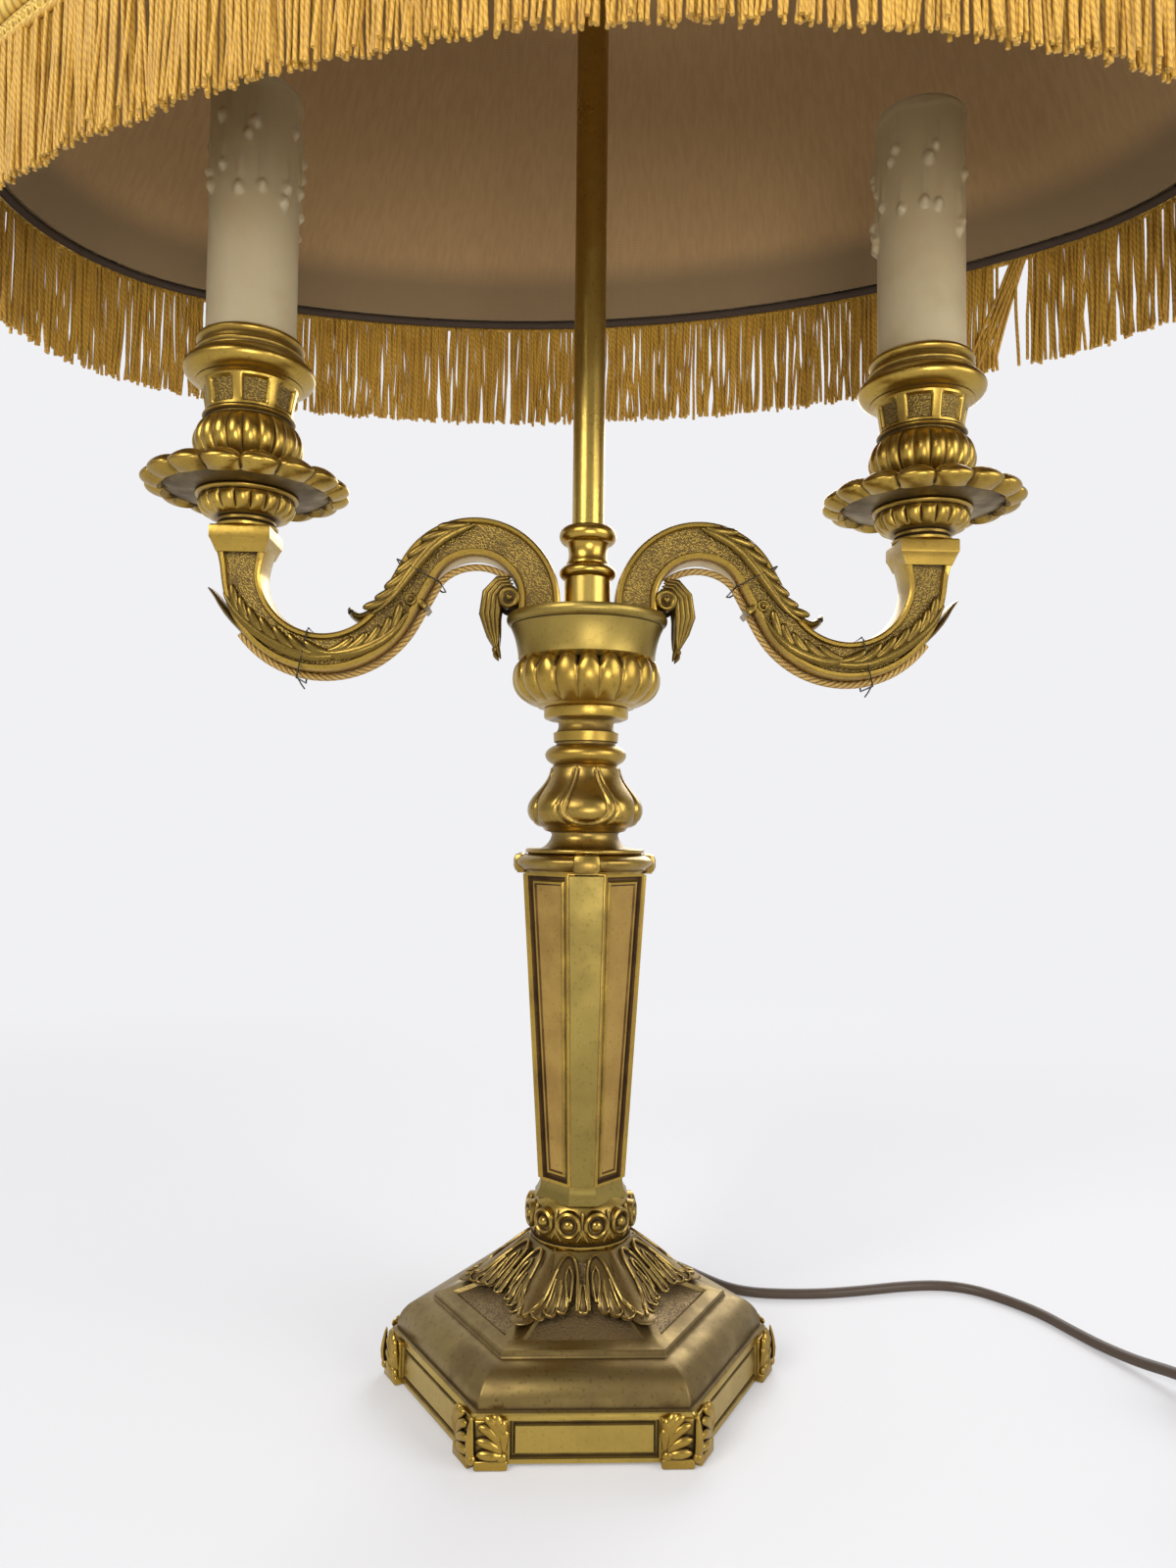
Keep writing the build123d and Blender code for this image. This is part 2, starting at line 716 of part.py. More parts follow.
# Arms: the left one is built, the right one is its mirror image
arch_end = arch_centre + arm_turn * arch_radius
scroll_start = scroll_centre - arm_turn * scroll_radius
leaf_top = volute_centre[1] - volute_radius / 2
leaf_inside = -(cup_rim_radius + 1.0)
tail_x = -arm_reach - arm_thickness / 2
tail_z = scroll_z - arm_thickness / 2
curl_turn = math.radians(300)
curl_reach = scroll_radius - arm_thickness / 2 - curl_radius / 3
curl_centre = (
    scroll_centre.X + curl_reach * math.cos(curl_turn),
    scroll_centre.Y + curl_reach * math.sin(curl_turn),
)
with BuildPart() as left_arm:
    with BuildSketch(Plane.XZ):
        with BuildLine():
            Line((-arm_root_x, plate_top), (-arm_root_x, arch_z))
            CenterArc(arch_centre, arch_radius, 0, arm_angle)
            Line(arch_end, scroll_start)
            CenterArc(scroll_centre, scroll_radius, arm_angle + 180, -arm_angle)
            Line((-arm_reach, scroll_z), (-arm_reach, abacus_bottom))
        trace(line_width=arm_thickness)
    extrude(amount=arm_depth / 2, both=True)
    for face_y in (-1, 1):
        with BuildSketch(Plane.XZ.offset(-face_y * arm_depth / 2)):
            with BuildLine():
                CenterArc(arch_centre, arch_radius, 12, arm_angle - 12)
                Line(arch_end, scroll_start)
                CenterArc(scroll_centre, scroll_radius, arm_angle + 180, -arm_angle)
            trace(line_width=arm_thickness - 2 * arm_panel_border)
        extrude(amount=face_y * arm_panel_depth, mode=Mode.SUBTRACT)
    with BuildSketch(Plane.XZ):
        with Locations(volute_centre):
            Circle(volute_radius)
        with Locations(curl_centre):
            Circle(curl_radius)
    extrude(amount=arm_depth / 2, both=True)
    with BuildSketch(Plane.XZ):
        with BuildLine():
            Line((leaf_inside, leaf_top), (leaf_inside, leaf_top - 12))
            Line((leaf_inside, leaf_top - 12), (leaf_inside - 1, leaf_top - 17))
            ThreePointArc(
                (leaf_inside - 1, leaf_top - 17),
                (leaf_inside - 6, leaf_top - 7),
                (leaf_inside - 5, leaf_top),
            )
            Line((leaf_inside - 5, leaf_top), (leaf_inside, leaf_top))
        make_face()
        with BuildLine():
            Line((tail_x + 1, scroll_z + 5), (tail_x - 5, tail_z))
            ThreePointArc((tail_x - 5, tail_z), (tail_x, tail_z - 8), (tail_x + 8, tail_z - 15))
            Line((tail_x + 8, tail_z - 15), (tail_x + 6, tail_z - 4))
            Line((tail_x + 6, tail_z - 4), (tail_x + 1, scroll_z + 5))
        make_face()
    extrude(amount=arm_depth / 3, both=True)
    with BuildSketch(Plane.XY.offset(abacus_bottom)):
        with Locations((-arm_reach, 0)):
            Rectangle(abacus_width, abacus_depth)
    extrude(amount=abacus_height)
    with BuildSketch(Plane.XY.offset(abacus_top)):
        with Locations((-arm_reach, 0)):
            Circle(nipple_radius + bore_clearance)
    extrude(amount=-nipple_depth, mode=Mode.SUBTRACT)
    with BuildSketch(Plane.XY.offset(plate_top)):
        with Locations((-arm_screw_offset, 0)):
            Circle(arm_screw_radius + bore_clearance)
    extrude(amount=arm_screw_grip + seat_gap, mode=Mode.SUBTRACT)
save(left_arm, "left_arm")

with BuildPart() as right_arm:
    mirror(left_arm.part, about=Plane.YZ)
save(right_arm, "right_arm")

with BuildPart() as arm_screws:
    for side in (-1, 1):
        with BuildSketch(Plane.XY.offset(plate_bottom - arm_screw_head_height)):
            with Locations((side * arm_screw_offset, 0)):
                Circle(arm_screw_head_radius)
        extrude(amount=arm_screw_head_height)
        with BuildSketch(Plane.XY.offset(plate_bottom)):
            with Locations((side * arm_screw_offset, 0)):
                Circle(arm_screw_radius)
        extrude(amount=plate_thickness + arm_screw_grip)
save(arm_screws, "arm_screws")

# Flex along the lower edge of each arm, and the wire ties round arm and flex
flex_offset = arm_thickness / 2 + flex_radius + running_gap
flex_arch = arch_radius - flex_offset
flex_scroll = scroll_radius + flex_offset
flex_leave = arch_centre + arm_turn * flex_arch
flex_join = scroll_centre - arm_turn * flex_scroll
flex_join_angle = arm_angle + 180
flex_sweep = flex_end_angle - flex_join_angle
with BuildPart() as left_arm_flex:
    with BuildLine(Plane.XZ) as flex_path:
        CenterArc((arch_centre.X, arch_centre.Y), flex_arch, flex_start_angle, arm_angle - flex_start_angle)
        Line((flex_leave.X, flex_leave.Y), (flex_join.X, flex_join.Y))
        CenterArc((scroll_centre.X, scroll_centre.Y), flex_scroll, flex_join_angle, flex_sweep)
    with BuildSketch(Plane(flex_path.wire() @ 0, z_dir=flex_path.wire() % 0)):
        Circle(flex_radius)
    sweep(path=flex_path.wire())
save(left_arm_flex, "left_arm_flex")

with BuildPart() as right_arm_flex:
    mirror(left_arm_flex.part, about=Plane.YZ)
save(right_arm_flex, "right_arm_flex")

tie_low = arm_thickness / 2 + 2 * (flex_radius + running_gap) + running_gap
tie_high = arm_thickness / 2 + running_gap
tie_half_depth = arm_depth / 2 + running_gap
tie_spots = []
arm_along = Vector(-arm_turn.Y, arm_turn.X)
upper_spot = arch_end + arm_along * tie_wire
tie_spots.append((upper_spot, arm_turn))
lower_turn = math.radians(258)
lower_out = Vector(math.cos(lower_turn), math.sin(lower_turn))
tie_spots.append((scroll_centre + lower_out * scroll_radius, lower_out * -1))
with BuildPart() as arm_ties:
    for mirrored in (1, -1):
        for spot, inward in tie_spots:
            level = Vector(mirrored * inward.X, 0, inward.Y)
            across = Plane(
                (mirrored * spot.X, 0, spot.Y),
                x_dir=(0, 1, 0),
                z_dir=level.cross(Vector(0, 1, 0)),
            )
            lift = (tie_high - tie_low) / 2 * (1 if across.y_dir.dot(level) > 0 else -1)
            with BuildSketch(across):
                with Locations((0, lift)):
                    Rectangle(2 * (tie_half_depth + tie_wire), tie_low + tie_high + 2 * tie_wire)
                    Rectangle(2 * tie_half_depth, tie_low + tie_high, mode=Mode.SUBTRACT)
            extrude(amount=tie_wire / 2, both=True)
save(arm_ties, "arm_ties")


# Candle holders: the same set on each arm
def pan_cup_outline():
    """The gadrooned cup under the drip pan."""
    return [
        (nipple_radius + bore_clearance, abacus_top),
        (pan_cup_neck_radius, abacus_top),
        (pan_cup_neck_radius, abacus_top + 0.3 * pan_cup_height),
        ((pan_cup_radius, abacus_top + 0.7 * pan_cup_height), (pan_cup_neck_radius + 4, pan_cup_top)),
        (nipple_radius + bore_clearance, pan_cup_top),
    ]


def pan_outline():
    """The dished drip pan."""
    return [
        (nipple_radius + bore_clearance, pan_cup_top),
        (pan_floor_radius, pan_cup_top),
        (pan_radius, pan_cup_top + pan_dish),
        (pan_radius, pan_floor + pan_dish),
        (pan_floor_radius, pan_floor),
        (nipple_radius + bore_clearance, pan_floor),
    ]


def socket_outline():
    """The candle socket: foot, gadroon ring, panelled neck, torus and rim."""
    neck_bottom = pan_floor + 0.56 * socket_height
    torus_bottom = pan_floor + 0.77 * socket_height
    torus_top = socket_top - 0.05 * socket_height
    torus_middle = (torus_bottom + torus_top) / 2
    return [
        (nipple_radius + bore_clearance, pan_floor),
        (socket_foot_radius, pan_floor),
        (socket_foot_radius, pan_floor + 0.15 * socket_height),
        (
            (socket_gadroon_radius, pan_floor + 0.37 * socket_height),
            (socket_neck_radius - 1, neck_bottom),
        ),
        (socket_neck_radius, neck_bottom),
        (socket_neck_radius, torus_bottom),
        ((socket_torus_radius, torus_middle), (socket_rim_radius, torus_top)),
        (socket_rim_radius, socket_top),
        (candle_radius + running_gap, socket_top),
        (candle_radius + running_gap, candle_seat),
        (nipple_radius + bore_clearance, candle_seat),
    ]


def holder_outline():
    """The small-screw lampholder, bored from the top."""
    return [
        (nipple_radius + bore_clearance, candle_seat),
        (holder_neck_radius, candle_seat),
        (holder_neck_radius, candle_seat + holder_neck_height),
        (holder_radius, candle_seat + holder_neck_height),
        (holder_radius, holder_top),
        (screw_bore_radius, holder_top),
        (screw_bore_radius, screw_shelf),
        (contact_well_radius, screw_shelf),
        (contact_well_radius, contact_floor),
        (nipple_bore_radius, contact_floor),
        (nipple_bore_radius, candle_seat + holder_neck_height),
        (nipple_radius + bore_clearance, candle_seat + holder_neck_height),
    ]


scallop_ring = pan_radius - scallop_radius
for side_name, side in (("left", -1), ("right", 1)):
    at_x = side * arm_reach
    with BuildPart() as pan_cup:
        revolve(outline_face(pan_cup_outline(), at_x), axis=upright_axis(at_x))
    save(pan_cup, f"{side_name}_pan_cup")

    with BuildPart() as drip_pan:
        revolve(outline_face(pan_outline(), at_x), axis=upright_axis(at_x))
        with BuildSketch(Plane.XY.offset(pan_cup_top)):
            with Locations((at_x, 0)):
                Circle(scallop_ring)
                with PolarLocations(scallop_ring, scallop_count):
                    Circle(scallop_radius)
        extrude(amount=pan_dish + pan_thickness, mode=Mode.INTERSECT)
    save(drip_pan, f"{side_name}_drip_pan")

    with BuildPart() as candle_socket:
        revolve(outline_face(socket_outline(), at_x), axis=upright_axis(at_x))
    save(candle_socket, f"{side_name}_candle_socket")

    with BuildPart() as lampholder:
        revolve(outline_face(holder_outline(), at_x), axis=upright_axis(at_x))
    save(lampholder, f"{side_name}_lampholder")

    with BuildPart() as candle_sleeve:
        with BuildSketch(Plane.XY.offset(candle_bottom)):
            with Locations((at_x, 0)):
                Circle(candle_radius)
                Circle(candle_radius - candle_wall, mode=Mode.SUBTRACT)
        extrude(amount=candle_length)
    save(candle_sleeve, f"{side_name}_candle_sleeve")

# Hollow nipples through both holders, and the contacts in both lampholders
with BuildPart() as holder_nipples:
    with BuildSketch(Plane.XY.offset(abacus_top - nipple_depth)):
        with GridLocations(2 * arm_reach, 1, 2, 1):
            Circle(nipple_radius)
            Circle(nipple_bore_radius, mode=Mode.SUBTRACT)
    extrude(amount=candle_seat + holder_neck_height - abacus_top + nipple_depth - seat_gap)
save(holder_nipples, "holder_nipples")

with BuildPart() as lamp_contacts:
    with BuildSketch(Plane.XZ):
        with Locations((-arm_reach, contact_floor), (arm_reach, contact_floor)):
            Rectangle(
                2 * (contact_well_radius - 2 * running_gap),
                contact_thickness,
                align=(Align.CENTER, Align.MIN),
            )
            Rectangle(contact_width, contact_rise, align=(Align.CENTER, Align.MIN))
    extrude(amount=contact_width / 2, both=True)
save(lamp_contacts, "lamp_contacts")

# Shade seat on the rod
with BuildPart() as shade_seat:
    with BuildSketch(Plane.XY.offset(stem_top - seat_height)):
        Circle(seat_radius)
        Circle(tie_radius + bore_clearance, mode=Mode.SUBTRACT)
    extrude(amount=seat_height)
save(shade_seat, "shade_seat")

# Shade wires: two oval rings, the ribs between them, and the spider with its hub
low_wire = oval_wire(shade_half_length, shade_half_width, shade_plane(ring_z))
high_wire = oval_wire(top_half_length, top_half_width, shade_plane(top_ring_z))
for ring_name, ring_line in (("shade_bottom_ring", low_wire), ("shade_top_ring", high_wire)):
    with BuildPart() as shade_ring:
        with BuildSketch(Plane(ring_line @ 0, z_dir=ring_line % 0)):
            Circle(ring_wire_radius)
        sweep(path=ring_line)
    save(shade_ring, ring_name)

with BuildPart() as shade_ribs:
    for low_arc, high_arc in zip(low_wire.edges(), high_wire.edges()):
        for rib in range(ribs_per_arc):
            foot = low_arc @ ((rib + 0.5) / ribs_per_arc)
            head = high_arc @ ((rib + 0.5) / ribs_per_arc)
            along = (head - foot).normalized()
            start = foot + along * ring_wire_radius
            with BuildSketch(Plane(start, z_dir=along)):
                Circle(rib_radius)
            extrude(amount=(head - foot).length - 2 * ring_wire_radius)
save(shade_ribs, "shade_ribs")

with BuildPart() as spider:
    with BuildSketch(Plane.XY.offset(hub_bottom)):
        Circle(hub_radius)
    extrude(amount=hub_thickness)
    hub_middle = Vector(0, 0, hub_bottom + hub_thickness / 2)
    for arm in range(4):
        turn = math.radians(shade_turn + 90 * arm)
        reach = top_half_length if arm % 2 == 0 else top_half_width
        tip = Vector(reach * math.cos(turn), reach * math.sin(turn), top_ring_z)
        along = (tip - hub_middle).normalized()
        start = hub_middle + along * (hub_radius - rib_radius)
        with BuildSketch(Plane(start, z_dir=along)):
            Circle(rib_radius)
        extrude(amount=(tip - start).length - ring_wire_radius)
    with BuildSketch(Plane.XY.offset(hub_bottom - hub_thickness)):
        Circle(stud_radius + running_gap)
    extrude(amount=3 * hub_thickness, mode=Mode.SUBTRACT)
save(spider, "spider")

# Shade fabric: cover outside the wires, lining inside them
with BuildPart() as shade_cover:
    loft([oval_face(ring_z, cover_outside), oval_face(top_ring_z, cover_outside)], ruled=True)
    loft(
        [oval_face(ring_z, cover_inside), oval_face(top_ring_z, cover_inside)],
        ruled=True,
        mode=Mode.SUBTRACT,
    )
save(shade_cover, "shade_cover")

lining_foot = ring_z + ring_wire_radius + fabric_gap
lining_head = top_ring_z - ring_wire_radius - fabric_gap - spider_rise
with BuildPart() as shade_lining:
    lining_skin = -lining_outside
    lining_face = -lining_outside - lining_thickness
    loft([oval_face(lining_foot, lining_skin), oval_face(lining_head, lining_skin)], ruled=True)
    loft(
        [oval_face(lining_foot, lining_face), oval_face(lining_head, lining_face)],
        ruled=True,
        mode=Mode.SUBTRACT,
    )
save(shade_lining, "shade_lining")

# Trim round the foot of the shade: gimp braid, satin roll and the hanging fringe
gimp_outside = trim_inside + gimp_thickness
with BuildPart() as gimp_braid:
    extrude(oval_band(ring_z, trim_inside, gimp_outside), amount=gimp_height)
save(gimp_braid, "gimp_braid")

roll_height = ring_z + gimp_height + roll_radius
roll_length, roll_width = shade_halves(roll_height - roll_radius)
roll_offset = cover_outside + roll_radius
roll_line = oval_wire(roll_length + roll_offset, roll_width + roll_offset, shade_plane(roll_height))
with BuildPart() as satin_roll:
    with BuildSketch(Plane(roll_line @ 0, z_dir=roll_line % 0)):
        Circle(roll_radius)
    sweep(path=roll_line)
save(satin_roll, "satin_roll")

strand_line = oval_wire(
    shade_half_length + trim_inside + fringe_thickness / 2,
    shade_half_width + trim_inside + fringe_thickness / 2,
    Plane.XY,
)
strand_spots = []
for strand in range(strand_count):
    spot = strand_line @ (strand / strand_count)
    heading = strand_line % (strand / strand_count)
    strand_spots.append(Location((spot.X, spot.Y, 0), math.degrees(math.atan2(heading.Y, heading.X))))
with BuildPart() as fringe:
    extrude(oval_band(ring_z, trim_inside, trim_inside + fringe_thickness), amount=-fringe_header)
    with BuildSketch(shade_plane(ring_z - fringe_header)):
        with Locations(*strand_spots):
            Rectangle(strand_width, fringe_thickness)
    extrude(amount=-(fringe_length - fringe_header))
save(fringe, "fringe")

# Finial on the stud above the hub
finial_bottom = hub_top + seat_gap
with BuildPart() as finial:
    knob = [
        (stud_radius + bore_clearance, finial_bottom),
        (finial_radius, finial_bottom),
        (finial_radius, finial_bottom + 0.12 * finial_height),
        (0.55 * finial_radius, finial_bottom + 0.3 * finial_height),
        (
            (finial_radius, finial_bottom + 0.55 * finial_height),
            (0.4 * finial_radius, finial_bottom + 0.8 * finial_height),
        ),
        (0, finial_bottom + finial_height),
        (0, stem_top + stud_length + seat_gap),
        (stud_radius + bore_clearance, stem_top + stud_length + seat_gap),
    ]
    revolve(outline_face(knob), axis=upright_axis())
save(finial, "finial")

# Terminal block under the roof of the base, and the leads that rise in the tie tube
terminal_y = -washer_radius - terminal_width
with BuildPart() as terminal_block:
    with BuildSketch(Plane.XY.offset(cavity_z - terminal_height)):
        with Locations((0, terminal_y)):
            Rectangle(terminal_length, terminal_width)
    extrude(amount=terminal_height)
    with BuildSketch(Plane.XZ.offset(-terminal_y + terminal_width / 2)):
        with Locations((0, cavity_z - terminal_height / 2)):
            with GridLocations(terminal_length / 2, 1, 2, 1):
                Circle(lead_radius)
    extrude(amount=-terminal_width / 2, mode=Mode.SUBTRACT)
save(terminal_block, "terminal_block")

with BuildPart() as riser_leads:
    with BuildSketch(Plane.XY.offset(tie_bottom - terminal_height / 2)):
        with GridLocations(2 * (tie_bore_radius - lead_radius - running_gap), 1, 2, 1):
            Circle(lead_radius)
    extrude(amount=bowl_top + cup_floor - tie_bottom)
save(riser_leads, "riser_leads")

# Strain relief in the back of the base
relief_tip = plinth_apothem + relief_length - plinth_wall
with BuildPart() as strain_relief:
    with BuildSketch(side_plane(90, plinth_apothem - plinth_wall, cord_exit_height)):
        Circle(relief_neck_radius - bore_clearance)
    extrude(amount=plinth_wall)
    with BuildSketch(side_plane(90, plinth_apothem, cord_exit_height)):
        Circle(relief_root_radius)
    with BuildSketch(side_plane(90, relief_tip, cord_exit_height)):
        Circle(relief_tip_radius)
    loft(ruled=True)
save(strain_relief, "strain_relief")


# Mains cord: a route of chosen points, rounded by arcs as large as its runs allow
def bend_radii(route):
    """The radius of the arc at each inner point of a route."""
    radii = []
    for before, at, after in zip(route, route[1:], route[2:]):
        shorter = min((at - before).length, (after - at).length)
        half_turn = math.radians((at - before).get_angle(after - at)) / 2
        radii.append(0.45 * shorter / math.tan(half_turn))
    return radii


def rounded_tube(points, label):
    """A round tube along straight runs and tangent arcs; prints its arc radii and its volume ratio."""
    route = [Vector(*point) for point in points]
    radii = bend_radii(route)
    with BuildPart() as tube:
        with BuildLine() as path:
            FilletPolyline(*route, radius=radii)
        with BuildSketch(Plane(path.wire() @ 0, z_dir=path.wire() % 0)):
            Circle(cord_radius)
        sweep(path=path.wire())
    section = math.pi * cord_radius**2
    ratio = tube.part.volume / (section * path.wire().length)
    print(label, "radii", [round(radius, 1) for radius in radii])
    print(label, "length", round(path.wire().length, 1), "volume ratio", round(ratio, 4))
    return tube


switch_heading = Vector(0.37, -0.93).normalized()
switch_start = Vector(183.0, -28.5)
cord_inlet = switch_start + switch_heading * switch_grip
cord_approach = switch_start - switch_heading * 5.0
cord_points = [
    (0, relief_tip, cord_exit_height),
    (0, relief_tip + 8.0, cord_exit_height),
    (3.6, 80.2, 5.6),
    (11.0, 86.0, 3.6),
    (20.8, 87.6, 2.2),
    (30.4, 84.0, cord_radius),
    (38.6, 76.2, cord_radius),
    (46.5, 66.0, cord_radius),
    (54.0, 56.6, cord_radius),
    (62.5, 51.8, cord_radius),
    (75.0, 50.4, cord_radius),
    (89.0, 50.6, cord_radius),
    (104.0, 53.2, cord_radius),
    (119.0, 56.6, cord_radius),
    (133.0, 57.5, cord_radius),
    (143.5, 53.5, cord_radius),
    (151.5, 45.0, cord_radius),
    (159.0, 34.0, cord_radius),
    (163.5, 21.0, cord_radius),
    (168.0, 9.0, 1.9),
    (172.6, -2.6, 3.0),
    (176.9, -13.4, 5.2),
    (cord_approach.X, cord_approach.Y, switch_half_height),
    (cord_inlet.X, cord_inlet.Y, switch_half_height),
]
mains_cord = rounded_tube(cord_points, "mains_cord")
save(mains_cord, "mains_cord")

# Coil of the unseen length: half turns that spiral in and out, four layers high
switch_end = switch_start + switch_heading * switch_length
coil_start = switch_end + switch_heading * coil_lead
coil_side = Vector(-switch_heading.Y, switch_heading.X)
coil_centre = coil_start - coil_side * coil_outer_radius
coil_pitch = 2 * cord_radius + coil_gap
half_turns = 2 * coil_turns
coil_inner_radius = coil_outer_radius - (half_turns - 1) * coil_pitch / 2
coil_marks = []
for layer in range(coil_layers):
    for half in range(half_turns):
        inward = layer % 2 == 0
        step = half * coil_pitch / 2
        reach = coil_outer_radius - step if inward else coil_inner_radius + step
        if half == 0 and layer > 0:
            reach += coil_pitch / 2 if inward else -coil_pitch / 2
        coil_marks.append((reach, cord_radius + layer * coil_pitch))
coil_marks.append((coil_outer_radius + coil_pitch / 2, cord_radius + (coil_layers - 1) * coil_pitch))


def coil_point(mark):
    """A half turn's end point in space: even ends on one side of the centre, odd on the other."""
    reach, height = coil_marks[mark]
    side = 1 if mark % 2 == 0 else -1
    flat = coil_centre + coil_side * (side * reach)
    return Vector(flat.X, flat.Y, height)


coil_samples = []
arc_steps = 24
with BuildPart() as cord_coil:
    with BuildLine() as coil_path:
        lead_in = []
        for ahead, height in ((-switch_grip, switch_half_height), (5.0, switch_half_height), (14.0, 3.7)):
            spot = switch_end + switch_heading * ahead
            lead_in.append(Vector(spot.X, spot.Y, height))
        spot = switch_end + switch_heading * (coil_lead - 9.0)
        lead_in.append(Vector(spot.X, spot.Y, cord_radius))
        lead_in.append(coil_point(0))
        FilletPolyline(*lead_in, radius=bend_radii(lead_in))
        for mark in range(len(coil_marks) - 1):
            near = coil_point(mark)
            far = coil_point(mark + 1)
            swing = switch_heading if mark % 2 == 0 else switch_heading * -1
            middle = (near + far) * 0.5 + swing * ((far - near).length / 2)
            arc = ThreePointArc(near, middle, far)
            coil_samples += [arc @ (step / arc_steps) for step in range(arc_steps)]
        coil_end = coil_point(len(coil_marks) - 1)
        Line(coil_end, coil_end + switch_heading * (2 * cord_radius))
    with BuildSketch(Plane(coil_path.wire() @ 0, z_dir=coil_path.wire() % 0)):
        Circle(cord_radius)
    sweep(path=coil_path.wire())
save(cord_coil, "cord_coil")
least_gap = min(
    (one - two).length
    for index, one in enumerate(coil_samples)
    for two in coil_samples[index + arc_steps:]
)
print("cord_coil least gap", round(least_gap - 2 * cord_radius, 2))
print("cord_coil length", round(coil_path.wire().length, 1))

# Cord from the coil to the plug, in the coil's own directions
plug_drop = plug_thickness / 2 - coil_end.Z
plug_route = [
    (2 * cord_radius, 0.0, 0.0),
    (10.4, 0.0, 0.0),
    (17.8, 3.0, -1.4),
    (22.8, 9.2, -3.2),
    (24.0, 17.2, -4.9),
    (21.4, 24.8, -6.0),
    (15.2, 30.2, plug_drop),
    (7.4, 32.2, plug_drop),
]
plug_points = []
for along, across, rise in plug_route:
    spot = coil_end + switch_heading * along + coil_side * across
    plug_points.append((spot.X, spot.Y, coil_end.Z + rise))
plug_cord = rounded_tube(plug_points, "plug_cord")
save(plug_cord, "plug_cord")

# Tie band round the coil, on the side away from the switch
band_out = coil_outer_radius + cord_radius + running_gap
band_in = coil_inner_radius - cord_radius - coil_pitch / 4
band_top = 2 * cord_radius + (coil_layers - 1) * coil_pitch + running_gap
band_plane = Plane(
    (coil_centre.X, coil_centre.Y, 0),
    x_dir=(switch_heading.X, switch_heading.Y, 0),
    z_dir=(-coil_side.X, -coil_side.Y, 0),
)
with BuildPart() as coil_tie:
    with BuildSketch(band_plane):
        with Locations(((band_in + band_out) / 2, 0)):
            Rectangle(
                band_out - band_in + 2 * tie_band_thickness,
                band_top + tie_band_thickness,
                align=(Align.CENTER, Align.MIN),
            )
            Rectangle(
                band_out - band_in,
                band_top,
                align=(Align.CENTER, Align.MIN),
                mode=Mode.SUBTRACT,
            )
    extrude(amount=tie_band_width / 2, both=True)
save(coil_tie, "coil_tie")

# In-line switch: two shells, a rocker in the upper one, and two screws
switch_middle = switch_start + switch_heading * (switch_length / 2)


def switch_plane(height):
    """A level plane at the middle of the switch, along the cord."""
    return Plane((switch_middle.X, switch_middle.Y, height), x_dir=(switch_heading.X, switch_heading.Y, 0))


screw_spacing = switch_length - 2 * switch_width / 2
inner_length = screw_spacing - 4 * switch_screw_radius - 2 * switch_wall
inner_width = switch_width - 2 * switch_wall
pocket_half = rocker_length / 2 + running_gap
with BuildPart() as cord_ways:
    for end_way in (-1, 1):
        inside = switch_middle + switch_heading * (end_way * (switch_length / 2 - switch_grip))
        inlet = Plane((inside.X, inside.Y, switch_half_height), z_dir=switch_heading * end_way)
        with BuildSketch(inlet):
            Circle(cord_radius + bore_clearance)
        extrude(amount=switch_grip + seat_gap)
with BuildPart() as switch_lower:
    with BuildSketch(switch_plane(0)):
        SlotOverall(switch_length, switch_width)
    extrude(amount=switch_half_height)
    with BuildSketch(switch_plane(switch_wall)):
        Rectangle(inner_length, inner_width)
    extrude(amount=switch_half_height - switch_wall, mode=Mode.SUBTRACT)
    with BuildSketch(switch_plane(0)):
        with GridLocations(screw_spacing, 1, 2, 1):
            Circle(switch_screw_radius + bore_clearance)
    extrude(amount=switch_half_height, mode=Mode.SUBTRACT)
    add(cord_ways.part, mode=Mode.SUBTRACT)
save(switch_lower, "switch_lower")

with BuildPart() as switch_upper:
    with BuildSketch(switch_plane(switch_half_height)):
        SlotOverall(switch_length, switch_width)
    extrude(amount=switch_half_height)
    with BuildSketch(switch_plane(switch_half_height)):
        Rectangle(inner_length, inner_width)
    extrude(amount=switch_half_height - switch_wall, mode=Mode.SUBTRACT)
    with BuildSketch(switch_plane(switch_half_height)):
        Rectangle(2 * pocket_half, rocker_width + 2 * running_gap)
    extrude(amount=switch_half_height, mode=Mode.SUBTRACT)
    with BuildSketch(switch_plane(switch_half_height)):
        with GridLocations(screw_spacing, 1, 2, 1):
            Circle(switch_screw_radius + bore_clearance)
    extrude(amount=switch_half_height - switch_wall, mode=Mode.SUBTRACT)
    add(cord_ways.part, mode=Mode.SUBTRACT)
save(switch_upper, "switch_upper")

rocker_axis_z = 2 * switch_half_height - switch_wall
with BuildPart() as switch_rocker:
    rocker_side = Plane(
        (switch_middle.X, switch_middle.Y, rocker_axis_z),
        x_dir=(switch_heading.X, switch_heading.Y, 0),
        z_dir=(-coil_side.X, -coil_side.Y, 0),
    )
    rocker_half = rocker_length / 2 - 2 * running_gap
    with BuildSketch(rocker_side):
        Polygon(
            (-rocker_half, -switch_wall),
            (rocker_half, -switch_wall),
            (rocker_half, switch_wall + rocker_rise),
            (0, switch_wall + rocker_rise / 2),
            (-rocker_half, switch_wall + rocker_rise / 4),
            align=None,
        )
        Circle(switch_wall + rocker_pivot_proud)
    extrude(amount=rocker_width / 2, both=True)
save(switch_rocker, "switch_rocker")

with BuildPart() as switch_screws:
    with BuildSketch(switch_plane(0)):
        with GridLocations(screw_spacing, 1, 2, 1):
            Circle(switch_screw_radius)
    extrude(amount=2 * switch_half_height - switch_wall - seat_gap)
save(switch_screws, "switch_screws")

